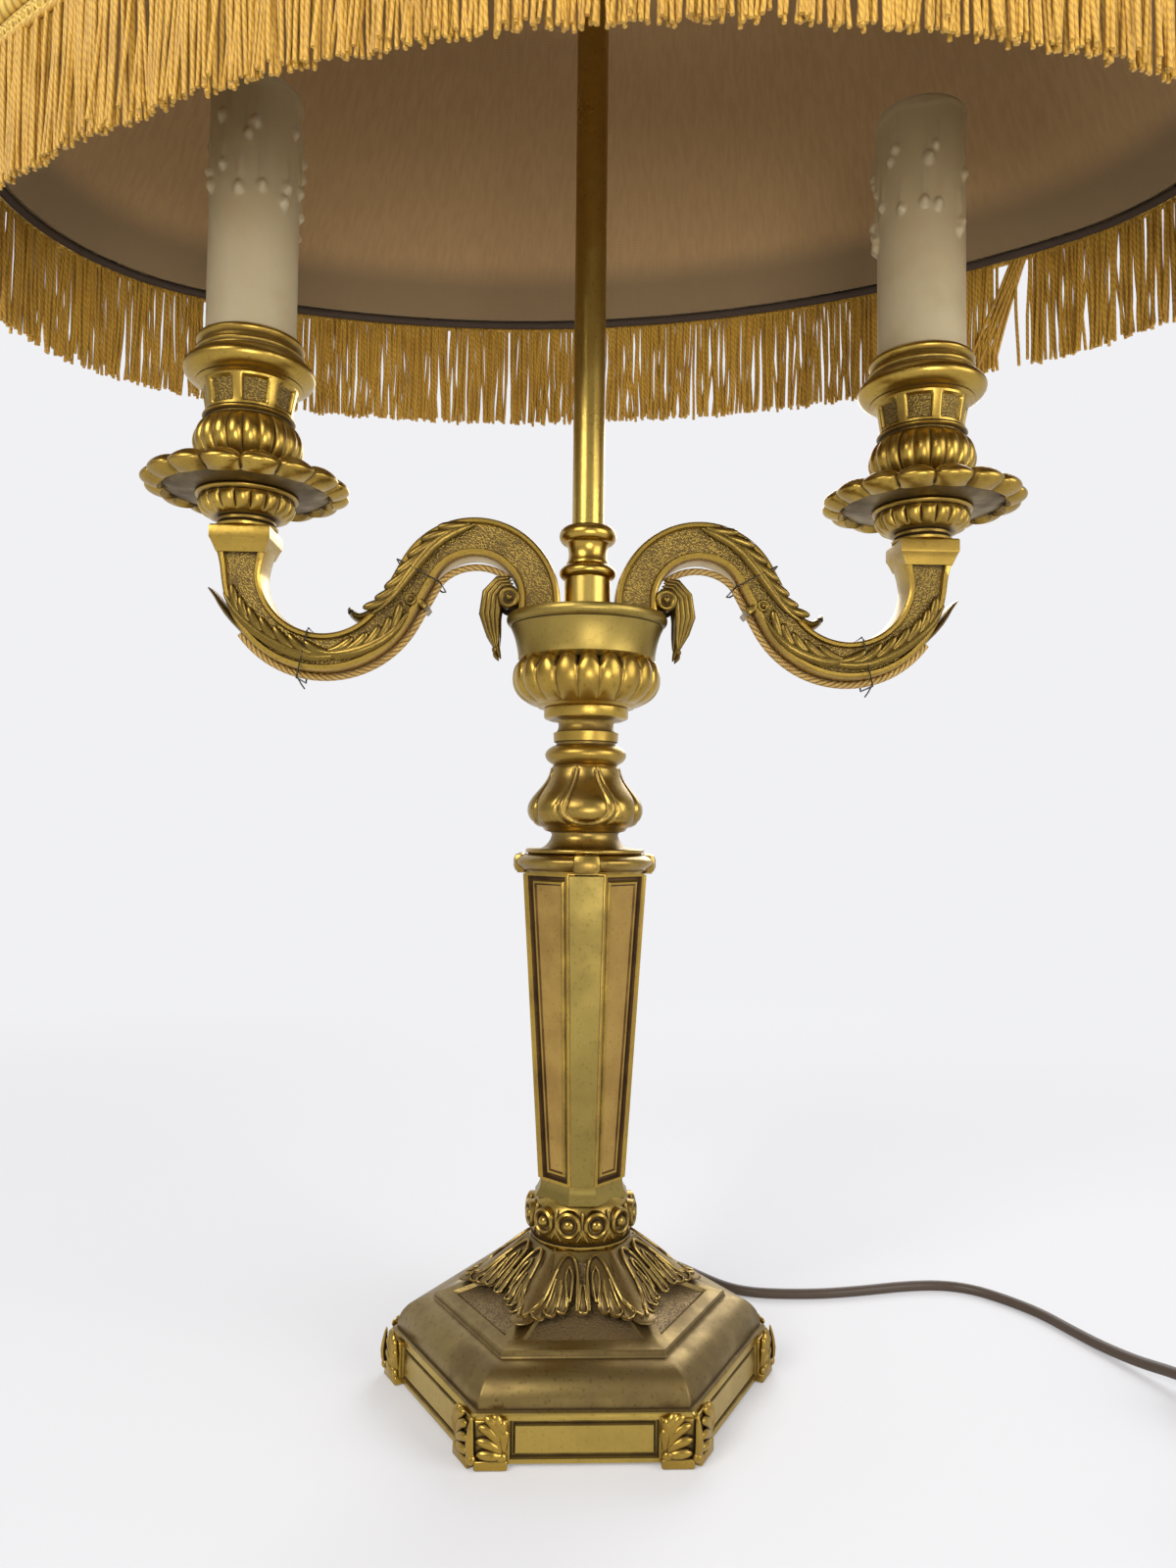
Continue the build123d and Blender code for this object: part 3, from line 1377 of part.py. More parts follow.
# Two-pin plug at the end of the cord
plug_tail = Vector(*plug_points[-1])
plug_heading = Vector(
    plug_points[-1][0] - plug_points[-2][0],
    plug_points[-1][1] - plug_points[-2][1],
).normalized()
plug_plane = Plane((plug_tail.X, plug_tail.Y, 0), x_dir=(plug_heading.X, plug_heading.Y, 0))
with BuildPart() as plug_body:
    with BuildSketch(plug_plane):
        Polygon(
            (0, -plug_nose_width / 2),
            (plug_length / 2, -plug_width / 2),
            (plug_length, -plug_width / 2),
            (plug_length, plug_width / 2),
            (plug_length / 2, plug_width / 2),
            (0, plug_nose_width / 2),
            align=None,
        )
    extrude(amount=plug_thickness)
    fillet(plug_body.part.edges().filter_by(Axis.Z), radius=plug_thickness / 6)
    pin_plane = Plane(
        (plug_plane.origin + plug_plane.x_dir * plug_length) + Vector(0, 0, plug_thickness / 2),
        x_dir=plug_plane.y_dir,
        z_dir=plug_plane.x_dir,
    )
    with BuildSketch(pin_plane):
        with GridLocations(pin_pitch, 1, 2, 1):
            Circle(pin_radius + bore_clearance)
    extrude(amount=-pin_root, mode=Mode.SUBTRACT)
save(plug_body, "plug_body")

with BuildPart() as plug_pins:
    with BuildSketch(pin_plane.offset(-pin_root)):
        with GridLocations(pin_pitch, 1, 2, 1):
            Circle(pin_radius)
    extrude(amount=pin_root + pin_length)
save(plug_pins, "plug_pins")
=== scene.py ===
"""Looks of a candelabra table lamp, dressed on its CAD frame."""

import logging
import math
import random
from dataclasses import dataclass
from enum import Enum
from itertools import accumulate
from typing import Callable, Optional, Sequence, Union

import bmesh
import bpy
from mathutils import Matrix, Vector


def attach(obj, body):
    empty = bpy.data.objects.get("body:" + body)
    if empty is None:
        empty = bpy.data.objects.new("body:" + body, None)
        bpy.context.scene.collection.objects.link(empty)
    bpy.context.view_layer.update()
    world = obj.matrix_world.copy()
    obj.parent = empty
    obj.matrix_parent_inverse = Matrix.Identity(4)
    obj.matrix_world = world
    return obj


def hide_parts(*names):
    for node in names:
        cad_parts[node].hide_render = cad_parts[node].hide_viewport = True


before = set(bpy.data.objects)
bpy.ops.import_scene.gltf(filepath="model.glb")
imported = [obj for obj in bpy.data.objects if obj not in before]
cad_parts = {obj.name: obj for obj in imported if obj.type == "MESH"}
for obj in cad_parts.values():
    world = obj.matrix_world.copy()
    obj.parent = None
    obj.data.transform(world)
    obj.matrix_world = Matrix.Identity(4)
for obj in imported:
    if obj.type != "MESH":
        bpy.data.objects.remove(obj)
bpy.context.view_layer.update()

LOG = logging.getLogger("lamp")
MM = 0.001
TURN = 2 * math.pi
DEEP_GROUND = 0.00005
Colour = tuple[float, float, float]
Outline = list[tuple[float, float]]
Points = Sequence[tuple[float, float]]
Spine = Callable[[float], Matrix]
Vert = bmesh.types.BMVert
Face = bmesh.types.BMFace
Term = Union["Val", float, Sequence[float]]


# Shader expressions


class Val:
    """One shader socket that Python operators work on."""

    def __init__(self, shop: "Shop", socket: bpy.types.NodeSocket) -> None:
        """Keep the socket and the shop that its nodes go in."""
        self.shop = shop
        self.socket = socket

    def _math(self, operation: str, *terms: Term) -> "Val":
        """Add one Math node on these terms."""
        return self.shop.node("ShaderNodeMath", {"operation": operation}, dict(enumerate(terms)))

    def __add__(self, other: Term) -> "Val":
        """Sum."""
        return self._math("ADD", self, other)

    def __radd__(self, other: Term) -> "Val":
        """Sum, with the number first."""
        return self._math("ADD", other, self)

    def __sub__(self, other: Term) -> "Val":
        """Difference."""
        return self._math("SUBTRACT", self, other)

    def __rsub__(self, other: Term) -> "Val":
        """Difference, with the number first."""
        return self._math("SUBTRACT", other, self)

    def __mul__(self, other: Term) -> "Val":
        """Product."""
        return self._math("MULTIPLY", self, other)

    def __rmul__(self, other: Term) -> "Val":
        """Product, with the number first."""
        return self._math("MULTIPLY", other, self)

    def wave(self) -> "Val":
        """Sine, moved into 0 to 1."""
        return self._math("SINE", self) * 0.5 + 0.5

    def most(self, other: Term) -> "Val":
        """The larger of two values."""
        return self._math("MAXIMUM", self, other)

    def rise(self, low: float, high: float) -> "Val":
        """A smooth step from 0 at low to 1 at high.

        Args:
            low: value that gives 0.
            high: value that gives 1.

        Returns:
            The stepped value, kept within 0 to 1.
        """
        settings = {"interpolation_type": "SMOOTHSTEP", "clamp": True}
        limits = {"Value": self, "From Min": low, "From Max": high}
        return self.shop.node("ShaderNodeMapRange", settings, limits)


class Shop:
    """The node tree of one material or world, with one method that makes nodes."""

    def __init__(self, name: str, world: bool = False) -> None:
        """Start a material, or a world, with its usual nodes.

        Args:
            name: its name.
            world: whether it is a world.
        """
        self.owner = (bpy.data.worlds if world else bpy.data.materials).new(name)
        self.owner.use_nodes = True
        self.tree = self.owner.node_tree
        self.shader = self.tree.nodes.get("Principled BSDF")

    def node(
        self,
        kind: str,
        settings: Optional[dict] = None,
        inputs: Optional[dict] = None,
        out: Union[int, str] = 0,
    ) -> Val:
        """Make a node, set it, then link or set its sockets.

        Args:
            kind: the node's type.
            settings: attributes that are set first.
            inputs: socket name or number to a value or a Val.
            out: the output that the result wraps.

        Returns:
            The wrapped output.
        """
        made = self.tree.nodes.new(kind)
        for name, value in (settings or {}).items():
            setattr(made, name, value)
        for key, value in (inputs or {}).items():
            self.feed(made.inputs[key], value)
        return Val(self, made.outputs[out])

    def feed(self, socket: bpy.types.NodeSocket, value: Term) -> None:
        """Link a Val to a socket, or set the socket's own value.

        Args:
            socket: the socket.
            value: a Val to link, or the socket's own value.
        """
        if isinstance(value, Val):
            self.tree.links.new(value.socket, socket)
        elif socket.type == "RGBA":
            socket.default_value = (*value[:3], 1.0)
        else:
            socket.default_value = value

    def place(self) -> Val:
        """Object coordinates, in metres."""
        return self.node("ShaderNodeTexCoord", out="Object")

    def unwrap(self) -> Val:
        """The piece's own UV map."""
        return self.node("ShaderNodeTexCoord", out="UV")

    def stretch(self, vector: Val, scale: Sequence[float]) -> Val:
        """Coordinates scaled by axis."""
        return self.node("ShaderNodeMapping", {}, {"Vector": vector, "Scale": scale})

    def axis(self, vector: Val, name: str) -> Val:
        """One coordinate of a vector."""
        return self.node("ShaderNodeSeparateXYZ", {}, {"Vector": vector}, name)

    def noise(self, vector: Val, scale: float, detail: float = 2.0) -> Val:
        """Cloudy noise from 0 to 1."""
        return self.node("ShaderNodeTexNoise", {}, {"Vector": vector, "Scale": scale, "Detail": detail})

    def cells(self, vector: Val, scale: float) -> Val:
        """Distance to the nearest cell point, for a punched ground."""
        return self.node("ShaderNodeTexVoronoi", {}, {"Vector": vector, "Scale": scale}, "Distance")

    def mix(self, share: Term, low: Term, high: Term) -> Val:
        """A colour between two colours."""
        return self.node("ShaderNodeMix", {"data_type": "RGBA"}, {0: share, 6: low, 7: high}, 2)

    def shelter(self, reach: float) -> Val:
        """How shut in the surface is: 0 in the open, 1 in a deep groove."""
        settings = {"samples": 10, "only_local": True}
        return 1 - self.node("ShaderNodeAmbientOcclusion", settings, {"Distance": reach}, "AO")

    def relief(self, height: Val, depth: float) -> Val:
        """A bumped normal from a height of 0 to 1 and a depth in metres."""
        return self.node("ShaderNodeBump", {}, {"Strength": 1.0, "Distance": depth, "Height": height})

    def finish(self, **sockets: Term) -> bpy.types.Material:
        """Feed the shader's sockets.

        Args:
            sockets: what each socket gets, by its name with underscores.

        Returns:
            The material.
        """
        for name, value in sockets.items():
            self.feed(self.shader.inputs[name.replace("_", " ").title()], value)
        return self.owner


# Finishes


@dataclass(frozen=True)
class GiltBronze:
    """Gilt cast metal, bright where it is rubbed and brown in its hollows from patina and painted shade."""

    name: str
    bright: Colour = (0.44, 0.288, 0.056)
    worn: Colour = (0.23, 0.14, 0.032)
    # colour of the hollows: their patina, and painted shade there
    patina: Colour = (0.042, 0.02, 0.007)
    roughness: float = 0.27
    ground: float = 0.0
    grain: float = 1300.0
    reach: float = 0.0055
    tarnish: float = 0.6

    def make(self) -> bpy.types.Material:
        """Build the material.

        Returns:
            The material.
        """
        shop = Shop(self.name)
        place = shop.place()
        cloud = shop.noise(place, 26.0, 5.0)
        blotch = shop.noise(place, 130.0, 4.0)
        speck = shop.noise(place, 950.0, 3.0)
        bumps = 1 - shop.cells(place, self.grain)
        # darker, browner, duller and less metallic in hollows and in the pits of the punched ground: part
        # patina, part painted shade from the ambient-occlusion term
        patina_and_shade = (shop.shelter(self.reach) + (blotch - 0.5) * 0.35).rise(0.12, 0.62) * 0.94
        if self.ground > DEEP_GROUND:
            patina_and_shade = patina_and_shade.most((0.66 - bumps).rise(0.0, 0.30) * 0.6)
        film = (cloud * 0.6 + blotch * 0.4).rise(0.40, 0.64) * self.tarnish
        tint = shop.mix(film, self.bright, self.worn)
        tint = shop.mix((speck - 0.56).rise(0.0, 0.18) * (self.tarnish * 0.5), tint, self.patina)
        tint = shop.mix(patina_and_shade, tint, self.patina)
        normal = shop.relief(bumps if self.ground else speck, self.ground or 0.00003)
        roughness = film * 0.20 + patina_and_shade * 0.25 + self.roughness
        return shop.finish(base_color=tint, roughness=roughness, metallic=1 - patina_and_shade * 0.5, normal=normal)


@dataclass(frozen=True)
class Wax:
    """Candle sleeve: ivory, slightly mottled, softly shiny."""

    name: str
    body: Colour = (0.445, 0.37, 0.228)
    # painted shade: colour of the sleeve's top, where the lampshade shades it
    shaded_top: Colour = (0.30, 0.226, 0.115)
    # colour of random stains, and of painted shade in the creases round the drips
    stain_and_shade: Colour = (0.355, 0.268, 0.135)

    def make(self) -> bpy.types.Material:
        """Build the material.

        Returns:
            The material.
        """
        shop = Shop(self.name)
        place = shop.place()
        cloud = shop.noise(place, 55.0, 4.0)
        fine = shop.noise(place, 500.0, 2.0)
        # painted shade: darkening in the creases round the drips
        crease_shade = shop.shelter(0.003).rise(0.15, 0.7)
        # painted shade: darker and yellower towards the top of the sleeve
        tint = shop.mix(shop.axis(place, "Z").rise(0.325, 0.385), self.body, self.shaded_top)
        tint = shop.mix(cloud.rise(0.48, 0.8) * 0.5, tint, self.stain_and_shade)
        tint = shop.mix(crease_shade * 0.6, tint, self.stain_and_shade)
        normal = shop.relief(cloud * 0.7 + fine * 0.3, 0.00012)
        return shop.finish(
            base_color=tint,
            roughness=cloud * 0.2 + 0.30,
            normal=normal,
            subsurface_weight=0.12,
            subsurface_scale=0.004,
        )


@dataclass(frozen=True)
class SlubLining:
    """Lining cloth with uneven upright threads and a plain hem."""

    name: str
    pale: Colour = (0.405, 0.255, 0.108)
    thread: Colour = (0.275, 0.165, 0.07)
    hem: Colour = (0.215, 0.145, 0.068)

    def make(self) -> bpy.types.Material:
        """Build the material.

        Returns:
            The material.
        """
        shop = Shop(self.name)
        cloth = shop.unwrap()
        slub = shop.noise(shop.stretch(cloth, (620.0, 130.0, 1.0)), 1.0, 4.0)
        streak = shop.noise(shop.stretch(cloth, (330.0, 62.0, 1.0)), 1.0, 3.0)
        cloud = shop.noise(shop.stretch(cloth, (11.0, 11.0, 1.0)), 1.0, 3.0)
        weft = (shop.axis(cloth, "Y") * (TURN / 0.0011)).wave()
        warp = (shop.axis(cloth, "X") * (TURN / 0.0012)).wave()
        above = shop.axis(cloth, "Y").rise(0.0120, 0.0255)
        lines = (slub * 0.6 + streak * 0.4).rise(0.38, 0.64)
        tint = shop.mix(lines * 0.36, self.pale, self.thread)
        tint = shop.mix(cloud.rise(0.45, 0.75) * 0.4, tint, self.pale)
        tint = shop.mix(1 - above, tint, shop.mix(slub * 0.2, self.hem, self.thread))
        normal = shop.relief(slub * 0.6 + weft * 0.2 + warp * 0.2, 0.00012)
        return shop.finish(base_color=tint, roughness=0.86, normal=normal, sheen_weight=0.1)


@dataclass(frozen=True)
class Satin:
    """Satin cloth with a fine upright weave."""

    name: str
    bright: Colour = (0.64, 0.48, 0.20)
    shade: Colour = (0.50, 0.35, 0.13)

    def make(self) -> bpy.types.Material:
        """Build the material.

        Returns:
            The material.
        """
        shop = Shop(self.name)
        cloth = shop.unwrap()
        slub = shop.noise(shop.stretch(cloth, (900.0, 14.0, 1.0)), 1.0, 3.0)
        cloud = shop.noise(shop.stretch(cloth, (14.0, 14.0, 1.0)), 1.0, 2.0)
        weave = (shop.axis(cloth, "X") * (TURN / 0.0008)).wave()
        tint = shop.mix(slub.rise(0.35, 0.7) * 0.8, self.bright, self.shade)
        tint = shop.mix(cloud.rise(0.5, 0.8) * 0.3, tint, self.shade)
        normal = shop.relief(slub * 0.6 + weave * 0.4, 0.0001)
        return shop.finish(base_color=tint, roughness=slub * 0.2 + 0.42, normal=normal, sheen_weight=0.25)


@dataclass(frozen=True)
class TwistedCord:
    """Cord of twisted yarns: UV runs once round it, and along it in metres."""

    name: str
    # bright and deep: the cord's gold, with a painted highlight on each yarn's crest and painted shade
    # between yarns; deep also takes the random age mottling
    bright: Colour
    deep: Colour
    pitch: float = 0.0024
    yarns: int = 2
    depth: float = 0.0002
    roughness: float = 0.46
    contrast: float = 1.0

    def make(self) -> bpy.types.Material:
        """Build the material.

        Returns:
            The material.
        """
        shop = Shop(self.name)
        cord = shop.unwrap()
        around = shop.axis(cord, "X") * (TURN * self.yarns)
        along = shop.axis(cord, "Y") * (TURN / self.pitch)
        twist = (around + along).wave()
        fibre = (around * 6.0 + along * 6.0).wave()
        age = shop.noise(shop.place(), 90.0, 4.0)
        # painted highlight and shade: each yarn's crest coloured bright, the groove between yarns deep
        light = twist.rise(0.05, 0.60) * self.contrast + (1 - self.contrast)
        tint = shop.mix(light, self.deep, self.bright)
        tint = shop.mix(age.rise(0.45, 0.75) * 0.5, tint, self.deep)
        normal = shop.relief(twist * 0.85 + fibre * 0.15, self.depth)
        return shop.finish(base_color=tint, roughness=self.roughness, normal=normal, sheen_weight=0.06)


@dataclass(frozen=True)
class Moulded:
    """A plain moulded, drawn or felted material with a fine grain."""

    name: str
    tint: Colour
    flecks: Colour
    roughness: float
    metallic: float = 0.0
    scale: float = 300.0
    depth: float = 0.00004

    def make(self) -> bpy.types.Material:
        """Build the material.

        Returns:
            The material.
        """
        shop = Shop(self.name)
        place = shop.place()
        grain = shop.noise(place, self.scale, 4.0)
        cloud = shop.noise(place, self.scale / 9, 3.0)
        tint = shop.mix(grain * 0.45 + cloud * 0.35, self.tint, self.flecks)
        normal = shop.relief(grain, self.depth)
        return shop.finish(
            base_color=tint,
            roughness=cloud * 0.14 + self.roughness,
            metallic=self.metallic,
            normal=normal,
        )


class Finish(Enum):
    """The finishes of the lamp, by use."""

    GILT = GiltBronze("gilt_bronze")
    GROUND = GiltBronze(
        "punched_ground",
        (0.25, 0.168, 0.038),
        (0.13, 0.083, 0.022),
        roughness=0.32,
        ground=0.00022,
        grain=1600,
    )
    AGED = GiltBronze("aged_gilt", (0.37, 0.245, 0.056), (0.17, 0.105, 0.032), roughness=0.26, tarnish=0.75)
    CUP = GiltBronze(
        "cup_gilt", (0.34, 0.245, 0.062), (0.235, 0.162, 0.042), roughness=0.36, tarnish=0.5
    )
    SPRAY = GiltBronze("arm_leaf", (0.22, 0.145, 0.032), (0.105, 0.066, 0.018), roughness=0.27, tarnish=0.7)
    POLISHED = GiltBronze(
        "polished_brass", (0.48, 0.34, 0.082), (0.33, 0.225, 0.055), roughness=0.27, tarnish=0.5
    )
    STRIP = GiltBronze("rubbed_strip", (0.28, 0.207, 0.056), (0.20, 0.145, 0.04), roughness=0.38, tarnish=0.6)
    BROWNED = GiltBronze(
        "browned_bronze",
        (0.252, 0.178, 0.062),
        (0.165, 0.113, 0.046),
        (0.06, 0.036, 0.017),
        roughness=0.34,
        tarnish=0.95,
    )
    LEAF = GiltBronze(
        "browned_leaf", (0.27, 0.185, 0.07), (0.155, 0.102, 0.045), roughness=0.34, tarnish=0.9
    )
    VEIN = GiltBronze("leaf_vein", (0.40, 0.275, 0.08), (0.25, 0.162, 0.05), roughness=0.29, tarnish=0.6)
    SLOPE = GiltBronze(
        "browned_ground",
        (0.335, 0.236, 0.103),
        (0.235, 0.158, 0.072),
        (0.06, 0.037, 0.02),
        roughness=0.42,
        ground=0.0001,
        grain=1700,
    )
    PANEL = GiltBronze(
        "warm_panel",
        (0.47, 0.30, 0.08),
        (0.31, 0.175, 0.048),
        (0.075, 0.034, 0.012),
        roughness=0.27,
        ground=0.00003,
        grain=1100,
    )
    GROOVE = GiltBronze(
        "brown_groove", (0.15, 0.08, 0.028), (0.072, 0.036, 0.014), roughness=0.42, tarnish=1.0
    )
    # painted shade under the drip pan, partly patina: a darker, browner finish for its underside
    SHADED_UNDERSIDE = GiltBronze(
        "shaded_underside", (0.215, 0.148, 0.046), (0.105, 0.07, 0.026), roughness=0.36, tarnish=1.0
    )
    WAX = Wax("ivory_sleeve")
    LINING = SlubLining("slub_lining")
    SATIN = Satin("gold_satin")
    FRINGE = TwistedCord("fringe_cord", (0.56, 0.325, 0.04), (0.32, 0.15, 0.012), depth=0.0001, contrast=0.6)
    GIMP = TwistedCord("gimp_cord", (0.80, 0.56, 0.12), (0.48, 0.28, 0.04), 0.0032, 3, 0.0003)
    FLEX = TwistedCord("braided_flex", (0.50, 0.32, 0.075), (0.20, 0.105, 0.02), 0.0022, 4, 0.00022)
    SHEATH = Moulded("cord_sheath", (0.055, 0.034, 0.020), (0.085, 0.056, 0.034), 0.40)
    FITTING = Moulded("brown_fitting", (0.045, 0.022, 0.011), (0.062, 0.032, 0.017), 0.24)
    HOLDER = Moulded("holder_plastic", (0.03, 0.028, 0.026), (0.05, 0.046, 0.042), 0.42)
    TERMINAL = Moulded("terminal_plastic", (0.76, 0.75, 0.70), (0.66, 0.65, 0.60), 0.4)
    STEEL = Moulded("plated_steel", (0.58, 0.58, 0.57), (0.44, 0.44, 0.43), 0.30, 1.0)
    WIRE = Moulded("shade_wire", (0.034, 0.02, 0.011), (0.058, 0.036, 0.02), 0.75, 0.0)
    FELT = Moulded("felt", (0.03, 0.042, 0.026), (0.05, 0.066, 0.042), 0.93, 0.0, 1400.0, 0.0003)
    TIE = Moulded("dark_tie_wire", (0.03, 0.025, 0.02), (0.07, 0.055, 0.035), 0.42, 0.8)


MADE: dict[Finish, bpy.types.Material] = {}


def material(finish: Finish) -> bpy.types.Material:
    """The material of a finish, made once.

    Args:
        finish: which finish.

    Returns:
        Its material.
    """
    if finish not in MADE:
        MADE[finish] = finish.value.make()
    return MADE[finish]


# Shapes


def bulge(start: tuple[float, float], end: tuple[float, float], depth: float, count: int = 8) -> Outline:
    """Points on a round swelling (or, with a negative depth, a hollow) between two outline points.

    Args:
        start: first point, as radius and height.
        end: last point.
        depth: how far the middle stands off the chord, to the right of travel.
        count: number of pieces.

    Returns:
        The points, both ends included.
    """
    ax, az = start
    bx, bz = end
    chord = math.hypot(bx - ax, bz - az)
    nx, nz = (bz - az) / chord, -(bx - ax) / chord
    points = []
    for step in range(count + 1):
        share = step / count
        lift = depth * math.sin(math.pi * share) ** 0.75
        points.append((ax + (bx - ax) * share + nx * lift, az + (bz - az) * share + nz * lift))
    return points


def smooth_step(value: float, low: float, high: float) -> float:
    """A smooth step from 0 to 1 between two limits."""
    share = min(1.0, max(0.0, (value - low) / (high - low)))
    return share * share * (3 - 2 * share)


def within(value: float, rise: tuple[float, float], fall: tuple[float, float]) -> float:
    """1 between two limits, with a smooth step up at the first and down at the second."""
    return smooth_step(value, *rise) * (1 - smooth_step(value, *fall))


def lobed(angle: float, count: int, power: float) -> float:
    """Round lobes about an axis: 1 on the middle of each and 0 in each groove."""
    return abs(math.cos(angle * count / 2)) ** power


def hand(side: int) -> str:
    """The word for a side of the lamp."""
    return "left" if side < 0 else "right"


def linked(name: str, data: bpy.types.ID) -> bpy.types.Object:
    """Put a new object in the scene.

    Args:
        name: its name.
        data: its mesh, curve, lamp or camera.

    Returns:
        The object.
    """
    made = bpy.data.objects.new(name, data)
    bpy.context.scene.collection.objects.link(made)
    return made


class Sculpt:
    """A bmesh in millimetres with the few moves that the lamp's pieces are made with."""

    def __init__(self) -> None:
        """Start empty."""
        self.bm = bmesh.new()

    def turn(self, outline: Outline, steps: int, closed: bool = True) -> "Sculpt":
        """Spin an outline of (radius, height) points about Z.

        Args:
            outline: the points, from the bottom inside round to the top inside.
            steps: divisions of the full turn.
            closed: whether the last point joins up with the first.

        Returns:
            This sculpt.
        """
        line = outline + outline[:1] if closed else outline
        verts = [self.bm.verts.new((radius, 0.0, height)) for radius, height in line]
        edges = [self.bm.edges.new(pair) for pair in zip(verts, verts[1:])]
        bmesh.ops.spin(
            self.bm,
            geom=verts + edges,
            cent=(0, 0, 0),
            axis=(0, 0, 1),
            angle=TURN,
            steps=steps,
            use_merge=True,
        )
        self.weld()
        self.outward()
        return self

    def weld(self, distance: float = 0.0005) -> None:
        """Merge doubles."""
        bmesh.ops.remove_doubles(self.bm, verts=self.bm.verts[:], dist=distance)

    def outward(self) -> None:
        """Point the faces outwards."""
        bmesh.ops.recalc_face_normals(self.bm, faces=self.bm.faces[:])

    def inset(self, faces: Sequence[Face], thickness: float, depth: float) -> list[Face]:
        """Inset each face on its own.

        Args:
            faces: the faces.
            thickness: width of the frame left round each.
            depth: how far each moves out.

        Returns:
            The frames' faces.
        """
        made = bmesh.ops.inset_individual(
            self.bm, faces=faces, thickness=thickness, depth=depth, use_even_offset=True
        )
        return made["faces"]

    def rings(self, parts: int, rows: int) -> list[list[Vert]]:
        """Grow a tube from a circle of radius 1 by extruding its edges, row by row, in place.

        Args:
            parts: divisions round it.
            rows: rows of faces.

        Returns:
            The vertices of each ring, in matching order.
        """
        rings = [bmesh.ops.create_circle(self.bm, cap_ends=False, segments=parts, radius=1.0)["verts"]]
        edges = list({edge for vert in rings[0] for edge in vert.link_edges})
        for _ in range(rows):
            grown = bmesh.ops.extrude_edge_only(self.bm, edges=edges)["geom"]
            fresh = {item for item in grown if isinstance(item, Vert)}
            edges = [item for item in grown if isinstance(item, bmesh.types.BMEdge)]
            edges = [edge for edge in edges if fresh.issuperset(edge.verts)]
            below = set(rings[-1])
            above = {}
            for vert in fresh:
                ends = (edge.other_vert(vert) for edge in vert.link_edges)
                above[next(end for end in ends if end in below)] = vert
            rings.append([above[vert] for vert in rings[-1]])
        return rings

    def wrap(self, rings: list[list[Vert]], girth: float, heights: Sequence[float]) -> None:
        """Lay UV on a tube of rings.

        Args:
            rings: its rings.
            girth: U at the end of a full round.
            heights: V of each ring.
        """
        uv = self.bm.loops.layers.uv.new("UVMap")
        parts = len(rings[0])
        place = {vert: (index, row) for row, ring in enumerate(rings) for index, vert in enumerate(ring)}
        for face in self.bm.faces:
            last = {place[loop.vert][0] for loop in face.loops} >= {0, parts - 1}
            for loop in face.loops:
                index, row = place[loop.vert]
                around = parts if last and index == 0 else index
                loop[uv].uv = (around / parts * girth, heights[row])

    def swell(self, change: Callable[[float, float, float], tuple[float, float]]) -> "Sculpt":
        """Move every vertex in radius and height by its angle, radius and height.

        Args:
            change: from (angle, radius, height) to the new (radius, height).

        Returns:
            This sculpt.
        """
        for vert in self.bm.verts:
            radius = math.hypot(vert.co.x, vert.co.y)
            if radius > 1e-6:
                angle = math.atan2(vert.co.y, vert.co.x)
                new_radius, height = change(angle, radius, vert.co.z)
                vert.co = (new_radius * math.cos(angle), new_radius * math.sin(angle), height)
        return self

    def push(self, face: Face, first: bool) -> Face:
        """Extrude a face in place, and leave no wall inside.

        Args:
            face: the face to extrude.
            first: whether it is the foot of the shape, which stays as its cap.

        Returns:
            The new face.
        """
        made = bmesh.ops.extrude_face_region(self.bm, geom=[face])
        if not first and face.is_valid:
            bmesh.ops.delete(self.bm, geom=[face], context="FACES_ONLY")
        return next(item for item in made["geom"] if isinstance(item, Face))

    def loft(self, corners: Points, levels: Points) -> "Sculpt":
        """A prism of a polygon whose size changes from level to level.

        Args:
            corners: the polygon at size 1.
            levels: size and height of each level.

        Returns:
            This sculpt.
        """
        sections = [[(x * size, y * size) for x, y in corners] for size, _ in levels]
        return self.sweep(sections, [Matrix.Translation((0, 0, height)) for _, height in levels])

    def sweep(self, sections: Sequence[Points], frames: Sequence[Matrix]) -> "Sculpt":
        """Carry a closed section along frames by extruding its face; the ends stay closed.

        Args:
            sections: points across the path at each frame, in its X and Y.
            frames: placed frames along the path, Z along it.

        Returns:
            This sculpt.
        """
        lane = self.bm.verts.layers.int.get("lane") or self.bm.verts.layers.int.new("lane")
        ring = [self.bm.verts.new(frames[0] @ Vector((x, y, 0.0))) for x, y in sections[0]]
        for index, vert in enumerate(ring):
            vert[lane] = index
        face = self.bm.faces.new(ring)
        for index, (section, after) in enumerate(zip(sections[1:], frames[1:])):
            face = self.push(face, index == 0)
            for vert in face.verts:
                x, y = section[vert[lane]]
                vert.co = after @ Vector((x, y, 0.0))
        self.outward()
        return self

    def lanes(self, wanted: set[int], index: int) -> "Sculpt":
        """Give a material index to the faces between these lanes of a sweep.

        Args:
            wanted: the lanes.
            index: the material index.

        Returns:
            This sculpt.
        """
        lane = self.bm.verts.layers.int["lane"]
        for face in self.bm.faces:
            if len(face.verts) == 4 and all(vert[lane] in wanted for vert in face.verts):
                face.material_index = index
        return self

    def ball(self, size: Sequence[float], place: Matrix, fine: int = 10) -> "Sculpt":
        """Add an ellipsoid with half sizes along the axes of a place.

        Args:
            size: half sizes.
            place: its place.
            fine: rows of faces.

        Returns:
            This sculpt.
        """
        shape = place @ Matrix.Diagonal((*size, 1.0))
        bmesh.ops.create_uvsphere(self.bm, u_segments=fine + 4, v_segments=fine, radius=1.0, matrix=shape)
        return self

